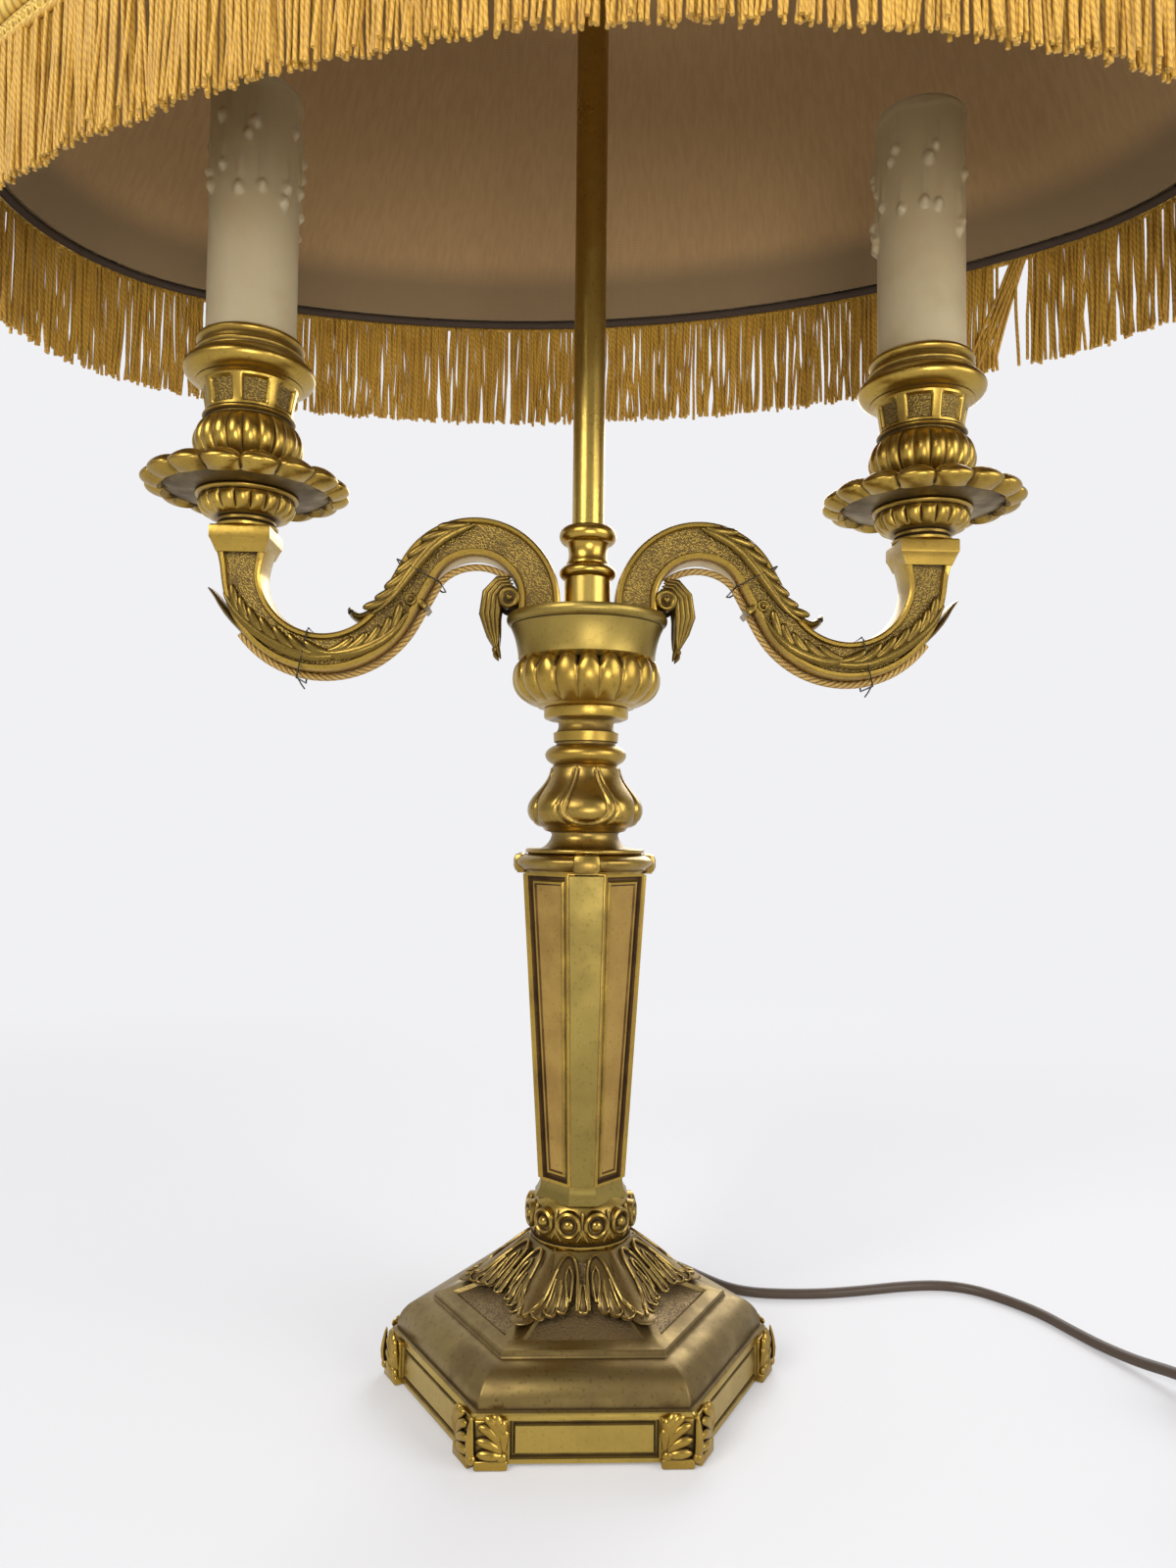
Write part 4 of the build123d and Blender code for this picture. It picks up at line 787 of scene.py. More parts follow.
    def finger(
        self,
        spine: Spine,
        width: float,
        height: float,
        around: int = 8,
        along: int = 8,
        flare: float = -0.5,
    ) -> "Sculpt":
        """Add a drop-shaped lobe along a spine.

        Args:
            spine: frame at a share of its length: X across, Y along it, Z out.
            width: half width across.
            height: half height out.
            around: divisions round it.
            along: divisions along it.
            flare: how much wider it is at its tip than at its root.

        Returns:
            This sculpt.
        """
        lay = Matrix.Rotation(-math.pi / 2, 4, "X")
        made = bmesh.ops.create_uvsphere(self.bm, u_segments=around, v_segments=along, radius=1.0, matrix=lay)
        for vert in made["verts"]:
            share = (vert.co.y + 1) / 2
            grow = 1 + flare * (share - 0.5)
            out = vert.co.z * height * min(1.0, grow)
            vert.co = spine(share) @ Vector((vert.co.x * width * grow, 0.0, out))
        faces = list({face for vert in made["verts"] for face in vert.link_faces})
        bmesh.ops.recalc_face_normals(self.bm, faces=faces)
        return self

    def block(self, size: Sequence[float], place: Matrix, edge: float) -> "Sculpt":
        """Add a box with rounded edges.

        Args:
            size: full sizes.
            place: its place.
            edge: width of the rounding.

        Returns:
            This sculpt.
        """
        shape = place @ Matrix.Diagonal((*size, 1.0))
        made = bmesh.ops.create_cube(self.bm, size=1.0, matrix=shape)
        edges = {item for vert in made["verts"] for item in vert.link_edges}
        bmesh.ops.bevel(
            self.bm, geom=list(edges), offset=edge, affect="EDGES", segments=2, profile=0.5, material=-1
        )
        return self

    def add(self, other: "Sculpt", place: Optional[Matrix] = None) -> "Sculpt":
        """Add a copy of another sculpt, placed by a matrix.

        Args:
            other: the sculpt to copy.
            place: where the copy goes.

        Returns:
            This sculpt.
        """
        mesh = bpy.data.meshes.new("copy")
        other.bm.to_mesh(mesh)
        if place is not None:
            mesh.transform(place)
            if place.determinant() < 0:
                mesh.flip_normals()
        self.bm.from_mesh(mesh)
        bpy.data.meshes.remove(mesh)
        return self

    def sharpen(self, angle: float) -> None:
        """Smooth the faces, with hard edges past an angle in degrees.

        Args:
            angle: the limit.
        """
        limit = math.radians(angle)
        for face in self.bm.faces:
            face.smooth = True
        for edge in self.bm.edges:
            edge.smooth = len(edge.link_faces) != 2 or edge.calc_face_angle(0.0) < limit

    def piece(
        self,
        name: str,
        body: str,
        finishes: Sequence[Finish],
        slot: str,
        nodes: Sequence[str] = (),
        angle: float = 38.0,
    ) -> bpy.types.Object:
        """Make the object, in metres, and hang it on its body.

        Args:
            name: the piece's name.
            body: the body that it rides on.
            finishes: finish of each material index.
            slot: not used.
            nodes: CAD nodes that it stands for.
            angle: faces meet in a hard edge past this angle.

        Returns:
            The object.
        """
        self.sharpen(angle)
        mesh = bpy.data.meshes.new(name)
        bmesh.ops.scale(self.bm, vec=(MM, MM, MM), verts=self.bm.verts[:])
        self.bm.to_mesh(mesh)
        self.bm.free()
        for finish in finishes:
            mesh.materials.append(material(finish))
        return hang(linked(name, mesh), body, nodes)


def hang(piece: bpy.types.Object, body: str, nodes: Sequence[str] = ()) -> bpy.types.Object:
    """Ride a piece on its body and the nodes that it stands for.

    Args:
        piece: the object.
        body: the body's name.
        nodes: CAD nodes that it replaces.

    Returns:
        The object.
    """
    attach(piece, body)
    if nodes:
        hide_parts(*nodes)
    LOG.info("%s: %d faces", piece.name, len(piece.data.polygons) if piece.type == "MESH" else 0)
    return piece


def at_angle(angle: float, radius: float, height: float) -> Matrix:
    """A place on a turned surface: X round it, Y up it, Z out of it.

    Args:
        angle: degrees about Z.
        radius: distance from the axis.
        height: height on it.

    Returns:
        The place.
    """
    spin = Matrix.Rotation(math.radians(angle), 4, "Z")
    face = Matrix(((0, 0, 1, radius), (1, 0, 0, 0), (0, 1, 0, height), (0, 0, 0, 1)))
    return spin @ face


@dataclass
class Acanthus:
    """Half of a cast leaf: drop-shaped lobes that fan out from one side of a rib."""

    half_width: float
    lobes: int
    run: float
    side: int
    lobe: float = 1.45
    proud: float = 1.15
    root: float = 0.8
    flare: float = 0.5
    gather: float = 0.16
    hook: float = 1.7
    stalk: float = 1.25
    web_reach: float = 0.5

    def spine(self, place: Spine, first: float, reach: float) -> Spine:
        """Frames along one lobe, which leaves the rib and bends out to its tip.

        Args:
            place: frame at a share of the rib: X across, Y along it, Z out of the leaf.
            first: share of the rib where it leaves.
            reach: share of the full width that it spreads to.

        Returns:
            A function from a share of the lobe to its frame.
        """

        def spot(share: float) -> Vector:
            """A point of the lobe's middle line.

            Args:
                share: share of its length.

            Returns:
                The point.
            """
            along = first + self.run * share
            breadth = self.root + (1 - self.root) * math.sin(math.pi * min(1.0, along) ** 0.8)
            spread = self.gather + (1 - self.gather) * share**self.hook
            across = self.side * self.half_width * breadth * reach * spread
            return place(along) @ Vector((across, 0.0, 0.5 * self.proud * share * share))

        def frame_at(share: float) -> Matrix:
            """The frame at a share of the lobe.

            Args:
                share: share of its length.

            Returns:
                The frame.
            """
            way = (spot(min(1.0, share + 0.05)) - spot(max(0.0, share - 0.05))).normalized()
            out = place(first + self.run * share).to_3x3() @ Vector((0.0, 0.0, 1.0))
            return framed(way, out, spot(share))

        return frame_at

    def lay(self, place: Spine) -> Sculpt:
        """Lay the leaf along a rib.

        Args:
            place: frame at a share of the rib: X across, Y along it, Z out of the leaf.

        Returns:
            The leaf, as closed lobes that run into each other.
        """
        leaf = Sculpt()
        leaf.finger(lambda share: place(0.98 * share), self.lobe * self.stalk, self.proud * 1.1, 8, 14)
        web = self.spine(place, 0.02, self.web_reach)
        leaf.finger(web, self.half_width * 0.40, self.proud * 0.55, 8, 10, self.flare)
        for index in range(self.lobes):
            first = 0.03 + index / (self.lobes - 1) * (0.97 - self.run)
            leaf.finger(self.spine(place, first, 1.0), self.lobe, self.proud, flare=self.flare)
        return leaf


def framed(way: Vector, out: Vector, here: Vector) -> Matrix:
    """A frame at a point with Y along a way and Z as near to out as it goes.

    Args:
        way: unit direction of Y.
        out: direction that Z comes near to.
        here: the point.

    Returns:
        The frame.
    """
    side = way.cross(out).normalized()
    frame_at = Matrix((side, way, side.cross(way))).transposed().to_4x4()
    frame_at.translation = here
    return frame_at


def rib_frames(points: Sequence[Vector], out: Vector) -> Spine:
    """Frames along a smooth rib through points.

    Args:
        points: points of the rib.
        out: the outward direction of what follows it.

    Returns:
        A function from a share of the rib to a frame: X across, Y along, Z out.
    """
    count = len(points) - 1

    def spot(share: float) -> Vector:
        """A point on the rib, by a smooth curve through its points.

        Args:
            share: share of the rib.

        Returns:
            The point.
        """
        here = min(max(share, 0.0), 1.0) * count
        index = min(int(here), count - 1)
        t = here - index
        p1, p2 = points[index], points[index + 1]
        p0 = points[index - 1] if index else p1 * 2 - p2
        p3 = points[index + 2] if index + 2 <= count else p2 * 2 - p1
        square = 2 * p0 - 5 * p1 + 4 * p2 - p3
        cube = 3 * p1 - p0 - 3 * p2 + p3
        return 0.5 * (2 * p1 + (p2 - p0) * t + square * t**2 + cube * t**3)

    def frame_at(share: float) -> Matrix:
        """The frame at a share of the rib.

        Args:
            share: share of the rib.

        Returns:
            The frame.
        """
        here = spot(share)
        way = (spot(share + 0.02) - spot(share - 0.02)).normalized()
        return framed(way, out, here)

    return frame_at


def cord_tube(path: Sequence[Vector], radius: float, sides: int, closed: bool = False) -> Sculpt:
    """A round tube along close points, with UV round it and along it in metres.

    Args:
        path: points of the centreline, in millimetres.
        radius: its radius.
        sides: sides of its section.
        closed: whether the path joins up with itself.

    Returns:
        The tube.
    """
    tube = Sculpt()
    line = [*path, path[0]] if closed else list(path)
    rings = tube.rings(sides, len(line) - 1)
    circle = [vert.co * radius for vert in rings[0]]
    before_first, after_last = (line[-2], line[1]) if closed else (line[0], line[-1])
    spots = [before_first, *line, after_last]
    previous = []
    shift = 0
    for index, ring in enumerate(rings):
        before, here, after = spots[index : index + 3]
        place = Matrix.Translation(here) @ (after - before).to_track_quat("Z", "Y").to_matrix().to_4x4()
        section = [place @ point for point in circle]
        if previous:
            shift += min(range(sides), key=lambda k: (section[k] - previous[0]).length)
        for number, vert in enumerate(ring):
            vert.co = section[(number + shift) % sides]
        previous = section
    steps = ((after - before).length * MM for before, after in zip(line, line[1:]))
    tube.wrap(rings, 1.0, list(accumulate(steps, initial=0.0)))
    if closed:
        tube.weld()
    else:
        bmesh.ops.holes_fill(tube.bm, edges=tube.bm.edges[:], sides=0)
    tube.outward()
    return tube


# The studio


@dataclass
class Studio:
    """Camera at the photograph's view, soft lamps, a pale floor and a white surround."""

    eye: Vector
    yaw: float = -1.99
    pitch: float = 2.55
    roll: float = 0.60
    lens: float = 24.75
    white: Colour = (0.88, 0.88, 0.905)

    def camera(self) -> None:
        """Place the camera."""
        yaw, pitch, roll = (math.radians(value) for value in (self.yaw, self.pitch, self.roll))
        level = Vector((-math.sin(yaw), math.cos(yaw), 0.0))
        right = Vector((math.cos(yaw), math.sin(yaw), 0.0))
        ahead = level * math.cos(pitch) + Vector((0, 0, math.sin(pitch)))
        up = right.cross(ahead)
        across = right * math.cos(roll) + up * math.sin(roll)
        upright = up * math.cos(roll) - right * math.sin(roll)
        data = bpy.data.cameras.new("view")
        data.lens = self.lens
        data.sensor_width = 36.0
        data.clip_start = 0.01
        eye = linked("view", data)
        axes = Matrix((across, upright, -ahead)).transposed().to_4x4()
        eye.matrix_world = Matrix.Translation(self.eye * MM) @ axes
        bpy.context.scene.camera = eye

    def floor(self) -> None:
        """A pale disc that fades into the white surround away from the lamp."""
        disc = bmesh.new()
        bmesh.ops.create_circle(disc, cap_ends=True, segments=96, radius=4.0)
        mesh = bpy.data.meshes.new("floor")
        disc.to_mesh(mesh)
        disc.free()
        linked("floor", mesh)
        shop = Shop("pale_floor")
        shop.finish(base_color=(0.82, 0.82, 0.835), roughness=0.75)
        apart = shop.node("ShaderNodeVectorMath", {"operation": "LENGTH"}, {0: shop.place()}, "Value")
        glow = shop.node("ShaderNodeEmission", {}, {"Color": self.white, "Strength": 1.0})
        seen = self.seen(shop) * (apart.rise(0.12, 0.85) * 0.72 + 0.28)
        blend = shop.tree.nodes.new("ShaderNodeMixShader")
        shop.feed(blend.inputs[0], seen)
        shop.tree.links.new(shop.shader.outputs[0], blend.inputs[1])
        shop.tree.links.new(glow.socket, blend.inputs[2])
        shop.tree.links.new(blend.outputs[0], shop.tree.nodes["Material Output"].inputs[0])
        mesh.materials.append(shop.owner)

    @staticmethod
    def seen(shop: Shop) -> Val:
        """1 for rays from the eye, a reflection or through glass.

        Args:
            shop: the tree that its nodes go in.

        Returns:
            The value.
        """
        eye = shop.node("ShaderNodeLightPath", out="Is Camera Ray")
        gloss = shop.node("ShaderNodeLightPath", out="Is Glossy Ray")
        glass = shop.node("ShaderNodeLightPath", out="Is Transmission Ray")
        return eye.most(gloss).most(glass)

    def surround(self, fill: float, dim: float) -> None:
        """White where it is seen, dimmer in reflections of the room behind the eye, soft light elsewhere.

        Args:
            fill: strength of the light that it gives.
            dim: strength of the reflected room behind the eye.
        """
        shop = Shop("surround", True)
        bpy.context.scene.world = shop.owner
        back = shop.tree.nodes["Background"]
        shop.feed(back.inputs["Color"], self.white)
        way = shop.axis(shop.node("ShaderNodeTexCoord", out="Generated"), "Y")
        eye = shop.node("ShaderNodeLightPath", out="Is Camera Ray")
        behind = way.rise(-0.35, 0.6) * (1 - dim) + dim
        shop.feed(back.inputs["Strength"], eye.most(self.seen(shop) * behind).most(fill))

    def lamp(
        self, name: str, spot: Vector, aim: Vector, size: float, watts: float, tint: Colour, cone: float = 0.0
    ) -> None:
        """One soft lamp.

        Args:
            name: its name.
            spot: where it stands, in metres.
            aim: the point that it faces.
            size: its side, or a spot lamp's radius.
            watts: its power.
            tint: its colour.
            cone: a spot lamp's spread in degrees, or 0 for an area lamp.
        """
        data = bpy.data.lights.new(name, "SPOT" if cone else "AREA")
        if cone:
            data.shadow_soft_size = size
            data.spot_size = math.radians(cone)
            data.spot_blend = 0.8
        else:
            data.size = size
        data.energy = watts
        data.color = tint
        facing = (aim - spot).to_track_quat("-Z", "Y").to_matrix().to_4x4()
        linked(name, data).matrix_world = Matrix.Translation(spot) @ facing

    def build(self) -> None:
        """Set up the view, the floor, the surround and the lamps."""
        self.camera()
        self.floor()
        self.surround(0.5, 0.07)
        middle = Vector((0.0, 0.0, 0.25))
        warm = (1.0, 0.975, 0.94)
        self.lamp("key", Vector((-0.75, -0.95, 0.95)), middle, 0.7, 12.5, warm)
        self.lamp("fill", Vector((0.95, -0.65, 0.55)), middle, 0.8, 8.0, (1.0, 1.0, 1.0))
        self.lamp("back", Vector((0.35, 1.05, 0.85)), middle, 0.8, 7.0, (0.98, 0.99, 1.0))
        self.lamp("under", Vector((0.1, -0.75, 0.14)), Vector((0.0, 0.0, 0.46)), 0.2, 15.0, warm, 58.0)
        bpy.context.scene.view_settings.view_transform = "Standard"


# The mains cord


@dataclass
class MainsCord:
    """The brown cord from the base to the plug, with the switch on it and its spare length coiled."""

    radius: float = 1.7
    exit_y: float = 63.71
    exit_z: float = 7.0
    layers: int = 4
    turns: int = 3
    gap: float = 0.6
    outer: float = 22.9
    switch_start: tuple[float, float] = (183.0, -28.5)
    switch_length: float = 52.0
    switch_axis: float = 6.5
    plug_height: float = 13.7
    under_rocker: float = 2.6
    lead: float = 34.0
    length: float = 1.806

    def heading(self) -> Vector:
        """Direction of the cord through the switch."""
        return Vector((0.37, -0.93, 0.0)).normalized()

    def route(self) -> list[Vector]:
        """Points of the cord from the base to the switch, in millimetres.

        Returns:
            The points.
        """
        floor = self.radius
        flat = [
            (0.0, self.exit_y, self.exit_z),
            (0.0, self.exit_y + 8.0, self.exit_z),
            (3.6, 80.2, 5.6),
            (11.0, 86.0, 3.6),
            (20.8, 87.6, 2.2),
            (30.4, 84.0, floor),
            (38.6, 76.2, floor),
            (46.5, 66.0, floor),
            (54.0, 56.6, floor),
            (62.5, 51.8, floor),
            (75.0, 50.4, floor),
            (89.0, 50.6, floor),
            (104.0, 53.2, floor),
            (119.0, 56.6, floor),
            (133.0, 57.5, floor),
            (143.5, 53.5, floor),
            (151.5, 45.0, floor),
            (159.0, 34.0, floor),
            (163.5, 21.0, floor),
            (168.0, 9.0, 1.9),
            (172.6, -2.6, 3.0),
            (176.9, -13.4, 5.2),
        ]
        return [Vector(point) for point in flat]

    def coil(self, start: Vector) -> list[Vector]:
        """Points of the coil: half turns that spiral in and out, layer on layer.

        Args:
            start: where the cord meets the coil.

        Returns:
            The points, in millimetres.
        """
        ahead = self.heading()
        side = Vector((-ahead.y, ahead.x, 0.0))
        centre = start - side * self.outer
        pitch = 2 * self.radius + self.gap
        halves = 2 * self.turns
        inner = self.outer - (halves - 1) * pitch / 2
        marks = []
        for layer in range(self.layers):
            for half in range(halves):
                step = half * pitch / 2
                reach = self.outer - step if layer % 2 == 0 else inner + step
                if half == 0 and layer:
                    reach += pitch / 2 if layer % 2 == 0 else -pitch / 2
                marks.append((reach, self.radius + layer * pitch))
        marks.append((self.outer + pitch / 2, self.radius + (self.layers - 1) * pitch))
        points = []
        parts = 8
        stretch = 1 / math.cos(math.pi / parts / 2) ** 0.5
        for index, (near, far) in enumerate(zip(marks, marks[1:])):
            way = 1 if index % 2 == 0 else -1
            for part in range(parts):
                share = part / parts
                angle = math.pi * share
                reach = near[0] + (far[0] - near[0]) * share
                height = near[1] + (far[1] - near[1]) * share
                spot = centre + way * reach * stretch * (side * math.cos(angle) + ahead * math.sin(angle))
                points.append(Vector((spot.x, spot.y, height)))
        last = centre + side * marks[-1][0]
        points.append(Vector((last.x, last.y, marks[-1][1])))
        return points

    def build(self) -> None:
        """Make the cord as one smooth curve."""
        ahead = self.heading()
        side = Vector((-ahead.y, ahead.x, 0.0))
        start = Vector((*self.switch_start, self.switch_axis))
        end = start + ahead * self.switch_length
        points = self.route()
        points += [start - ahead * 5.0, start + ahead * 4.0]
        for spot in (start + ahead * 20.0, end - ahead * 20.0):
            points.append(Vector((*spot.xy, self.under_rocker)))
        points += [end - ahead * 4.0, end + ahead * 5.0]
        points.append(Vector((*(end + ahead * 14.0).xy, 3.7)))
        points.append(Vector((*(end + ahead * (self.lead - 9.0)).xy, self.radius)))
        coil = self.coil(Vector((*(end + ahead * self.lead).xy, self.radius)))
        points += coil
        plug_z = self.plug_height / 2
        tail = coil[-1]
        for along, across, drop in (
            (3.4, 0.0, 0.0),
            (10.4, 0.0, 0.0),
            (17.8, 3.0, -1.4),
            (22.8, 9.2, -3.2),
            (24.0, 17.2, -4.9),
            (21.4, 24.8, -6.0),
            (15.2, 30.2, plug_z - tail.z),
            (7.4, 32.2, plug_z - tail.z),
        ):
            points.append(tail + ahead * along + side * across + Vector((0, 0, drop)))
        data = bpy.data.curves.new("mains_cord_line", "CURVE")
        data.dimensions = "3D"
        data.bevel_depth = self.radius * MM
        data.bevel_resolution = 4
        data.resolution_u = 4
        data.use_fill_caps = True
        spline = data.splines.new("NURBS")
        spline.points.add(len(points) - 1)
        for point, spot in zip(spline.points, points):
            point.co = (*(spot * MM), 1.0)
        spline.order_u = 3
        spline.use_endpoint_u = True
        data.materials.append(material(Finish.SHEATH))
        nodes = ("mains_cord", "cord_coil", "plug_cord")
        cord = hang(linked("brown_cord", data), "lamp", nodes)


# The base


@dataclass
class HexBase:
    """Hexagonal base: footed plinth with sunk panels, cushion, framed slopes and leaf collar."""

    felt: float = 1.0
    plinth_radius: float = 57.4
    plinth_top: float = 14.0
    cushion_foot: float = 55.6
    cushion_top: float = 22.5
    frame_radius: float = 45.6
    frame_top: float = 24.0
    slope_foot: float = 43.0
    slope_radius: float = 31.0
    slope_z: float = 29.0
    top_radius: float = 17.0
    top_z: float = 41.6
    mount_reach: float = 8.8
    web_height: float = 0.9
    rim_height: float = 0.7
    rim_radius: float = 0.38
    rim_steps: int = 22

    def corners(self) -> list[tuple[float, float]]:
        """A hexagon of radius 1 with corners on the X axis."""
        return [(math.cos(TURN * k / 6), math.sin(TURN * k / 6)) for k in range(6)]

    def body(self) -> Sculpt:
        """The plain casting, with its hip edges rounded off.

        Returns:
            The casting.
        """
        plinth, foot, top = self.plinth_radius, self.plinth_top, self.cushion_top
        levels = [(plinth, self.felt), (plinth, foot - 1.0), (plinth - 0.3, foot - 0.4), (plinth - 1.0, foot)]
        levels.append((self.cushion_foot, foot))
        steps = 10
        for step in range(steps + 1):
            turn = math.pi / 2 * step / steps
            shrink = (self.cushion_foot - self.frame_radius) * (1 - math.cos(turn))
            levels.append((self.cushion_foot - shrink, foot + 0.3 + (top - foot - 0.3) * math.sin(turn)))
        levels += [
            (self.frame_radius - 0.6, top + 0.05),
            (self.frame_radius - 0.9, top + 0.4),
            (self.frame_radius - 1.1, self.frame_top - 0.1),
            (self.frame_radius - 1.6, self.frame_top + 0.3),
            (self.slope_foot - 0.4, self.frame_top + 0.5),
            (self.slope_radius, self.slope_z),
            (self.top_radius, self.top_z),
        ]
        body = Sculpt().loft(self.corners(), levels)
        hips = []
        for edge in body.bm.edges:
            bearings = [math.degrees(math.atan2(vert.co.y, vert.co.x)) for vert in edge.verts]
            apart = abs((bearings[0] - bearings[1] + 180) % 360 - 180)
            if apart < 1:
                hips.append(edge)
        bmesh.ops.bevel(
            body.bm,
            geom=hips,
            offset=0.5,
            affect="EDGES",
            segments=2,
            profile=0.5,
            material=-1,
            clamp_overlap=True,
        )
        return body

    def casting(self) -> None:
        """The casting, with a raised panel in each side of the plinth and a sunk field in each slope."""
        body = self.body()
        plinth, slopes = [], [[] for _ in range(6)]
        for face in body.bm.faces:
            middle = face.calc_center_median()
            bearing = math.degrees(math.atan2(middle.y, middle.x)) % 60
            if abs(bearing - 30) > 3 or math.hypot(middle.x, middle.y) < 5:
                continue
            if abs(face.normal.z) < 0.05 and middle.z < self.plinth_top - 3:
                plinth.append(face)
            elif middle.z > self.frame_top + 1.0 and face.normal.z > 0.2:
                slopes[int(math.degrees(math.atan2(middle.y, middle.x)) % 360 // 60)].append(face)
        body.inset(plinth, 1.1, 0.0)
        for face in plinth:
            middle = face.calc_center_median()
            along = Vector((-middle.y, middle.x, 0)).normalized()
            for vert in face.verts:
                shift = (vert.co - middle).dot(along)
                vert.co -= along * math.copysign(self.mount_reach - 1.2, shift)
        for thickness, depth in ((0.5, -1.2), (0.5, 0.0), (0.5, 1.0)):
            body.inset(plinth, thickness, depth)
        for face in body.bm.faces:
            if face.calc_center_median().z < self.plinth_top - 0.3:
                face.material_index = 2
        for field in slopes:
            for thickness, depth in ((2.3, 0.0), (0.8, -0.9)):
                bmesh.ops.inset_region(
                    body.bm, faces=field, thickness=thickness, depth=depth, use_even_offset=True
                )
            for face in field:
                face.material_index = 1
        finishes = (Finish.BROWNED, Finish.SLOPE, Finish.POLISHED)
        body.piece("base_body", "lamp", finishes, "gilt_brass", ("base_casting",), 26)

    def mounts(self) -> None:
        """Leafy mounts round the corners of the plinth, each on a small foot."""
        one = Sculpt()
        edge = Matrix.Translation((self.plinth_radius, 0, 0))
        for across in (-1, 1):
            face = edge @ Matrix.Rotation(math.radians(30 * across), 4, "Z")
            out = face.to_3x3() @ Vector((1, 0, 0))
            for thick, high, off, up, edge_radius in ((1.5, 10.6, 0.2, 7.2, 0.6), (3.0, 2.6, 0.6, 1.5, 0.5)):
                middle = face @ Matrix.Translation((off, across * self.mount_reach / 2, up))
                one.block((thick, self.mount_reach, high), middle, edge_radius)
            root = (7.6, 3.0)
            tips = ((8.4, 10.6), (7.0, 13.2), (4.8, 14.2), (2.6, 13.6), (0.9, 11.2), (0.3, 7.6), (0.5, 4.2))
            for tip in tips:
                points = []
                for share, lift in ((0.0, 0.8), (0.3, 1.3), (0.65, 1.8), (1.0, 1.5)):
                    rise = math.sin(share * math.pi / 2)
                    reach = root[0] + (tip[0] - root[0]) * (0.35 * share + 0.65 * share * share)
                    points.append(face @ Vector((lift, across * reach, root[1] + (tip[1] - root[1]) * rise)))
                one.finger(rib_frames(points, out), 1.25, 1.0, flare=0.8)
            one.ball((1.0, 1.5, 1.3), face @ Matrix.Translation((1.4, across * 7.2, 3.4)), 8)
        hip = [edge @ Vector((x, 0, z)) for x, z in ((0.9, 1.6), (2.0, 5.0), (1.9, 9.0), (1.2, 13.8))]
        one.finger(rib_frames(hip, Vector((1, 0, 0))), 1.2, 1.0)
        one.ball((1.3, 1.5, 1.5), edge @ Matrix.Translation((1.4, 0, 3.0)), 10)
        mounts = Sculpt()
        for corner in range(6):
            mounts.add(one, Matrix.Rotation(TURN * corner / 6, 4, "Z"))
        mounts.piece("plinth_mounts", "lamp", (Finish.GILT,), "gilt_brass", ("corner_mounts",), 50)

    def ridge(self, angle: float) -> Spine:
        """Frames of a leaf's rib that runs down the slope at an angle.

        Args:
            angle: degrees about Z.

        Returns:
            A function from a share of the rib to its frame.
        """
        turn = Matrix.Rotation(math.radians(angle), 4, "Z")
        corner = abs((angle % 60) - 30) > 15
        wide = 1.0 if corner else math.cos(math.pi / 6)
        top, slope = self.top_radius * wide, self.slope_radius * wide
        profile = [
            (top - 1.4, self.top_z + 0.3),
            (top + 4.6, self.top_z - 4.6),
            (top + 9.6, self.top_z - 8.8),
            (slope + 0.2, self.slope_z + 0.7),
        ]
        if corner:
            profile += [(slope + 3.4, self.slope_z - 0.4), (slope + 6.2, self.slope_z - 0.9)]
        else:
            profile.append((slope + 3.4, self.slope_z - 0.3))
        points = [turn @ Vector((x, 0, z + 0.3)) for x, z in profile]
        out = (turn @ Vector((0.55, 0, 0.83))).normalized()
        return rib_frames(points, out)

    def lobe(self, path: Sequence[Vector], out: Vector, width: float, web: Sculpt, veins: Sculpt) -> None:
        """Add one lobe of a leaf: a flat drop with a raised rim.

        Args:
            path: points of its middle line, from its root to its tip.
            out: the outward direction.
            width: its half width.
            web: takes the drop.
            veins: takes the rim.
        """
        spine = rib_frames(path, out)
        web.finger(spine, width, self.web_height, 8, 10, 0.8)
        rim = []
        for step in range(-self.rim_steps, self.rim_steps + 1):
            share = 1 - abs(step) / self.rim_steps
            half = width * (0.42 + 0.72 * share) * math.sqrt(1 - share**6)
            rim.append(spine(share) @ Vector((math.copysign(half, step), 0.0, self.rim_height)))
        veins.add(cord_tube(rim, self.rim_radius, 6))

    @staticmethod
    def laid(face: Spine, side: int, path: Points, lift: float) -> list[Vector]:
        """Points of a path on one side of a face, given across and down it."""
        return [face(along) @ Vector((side * across, 0.0, lift)) for across, along in path]

    def collar(self) -> None:
        """On each face two half leaves that sweep to its corners, and a slim lobe between them."""
        web, veins = Sculpt(), Sculpt()
        lobes = (
            (((8.6, 0.46), (10.4, 0.64), (12.4, 0.82), (14.2, 1.0)), 2.2),
            (((6.9, 0.34), (8.0, 0.55), (9.1, 0.76), (10.2, 0.97)), 1.9),
            (((5.3, 0.40), (5.6, 0.56), (6.0, 0.72), (6.5, 0.89)), 1.55),
        )
        shield = ((3.0, 0.02), (5.2, 0.28), (8.0, 0.55), (10.4, 0.78))
        sweep = ((1.6, 0.84), (1.5, 0.50), (1.4, 0.26), (2.3, 0.13), (4.1, 0.09), (6.0, 0.15), (7.7, 0.27))
        sweep += ((9.9, 0.47), (12.3, 0.69), (14.9, 0.89), (16.8, 1.0))
        eye = ((3.8, 0.20), (2.9, 0.28), (3.0, 0.40), (3.9, 0.62), (4.8, 0.42), (4.7, 0.28), (3.8, 0.20))
        for corner in range(6):
            face = self.ridge(30 + 60 * corner)
            out = face(0.5).to_3x3() @ Vector((0.0, 0.0, 1.0))
            web.finger(self.ridge(60 * corner), 3.4, 1.0, 10, 14, 0.9)
            middle = [face(along) @ Vector((0.0, 0.0, 0.2)) for along in (0.40, 0.57, 0.74, 0.91)]
            self.lobe(middle, out, 1.5, web, veins)
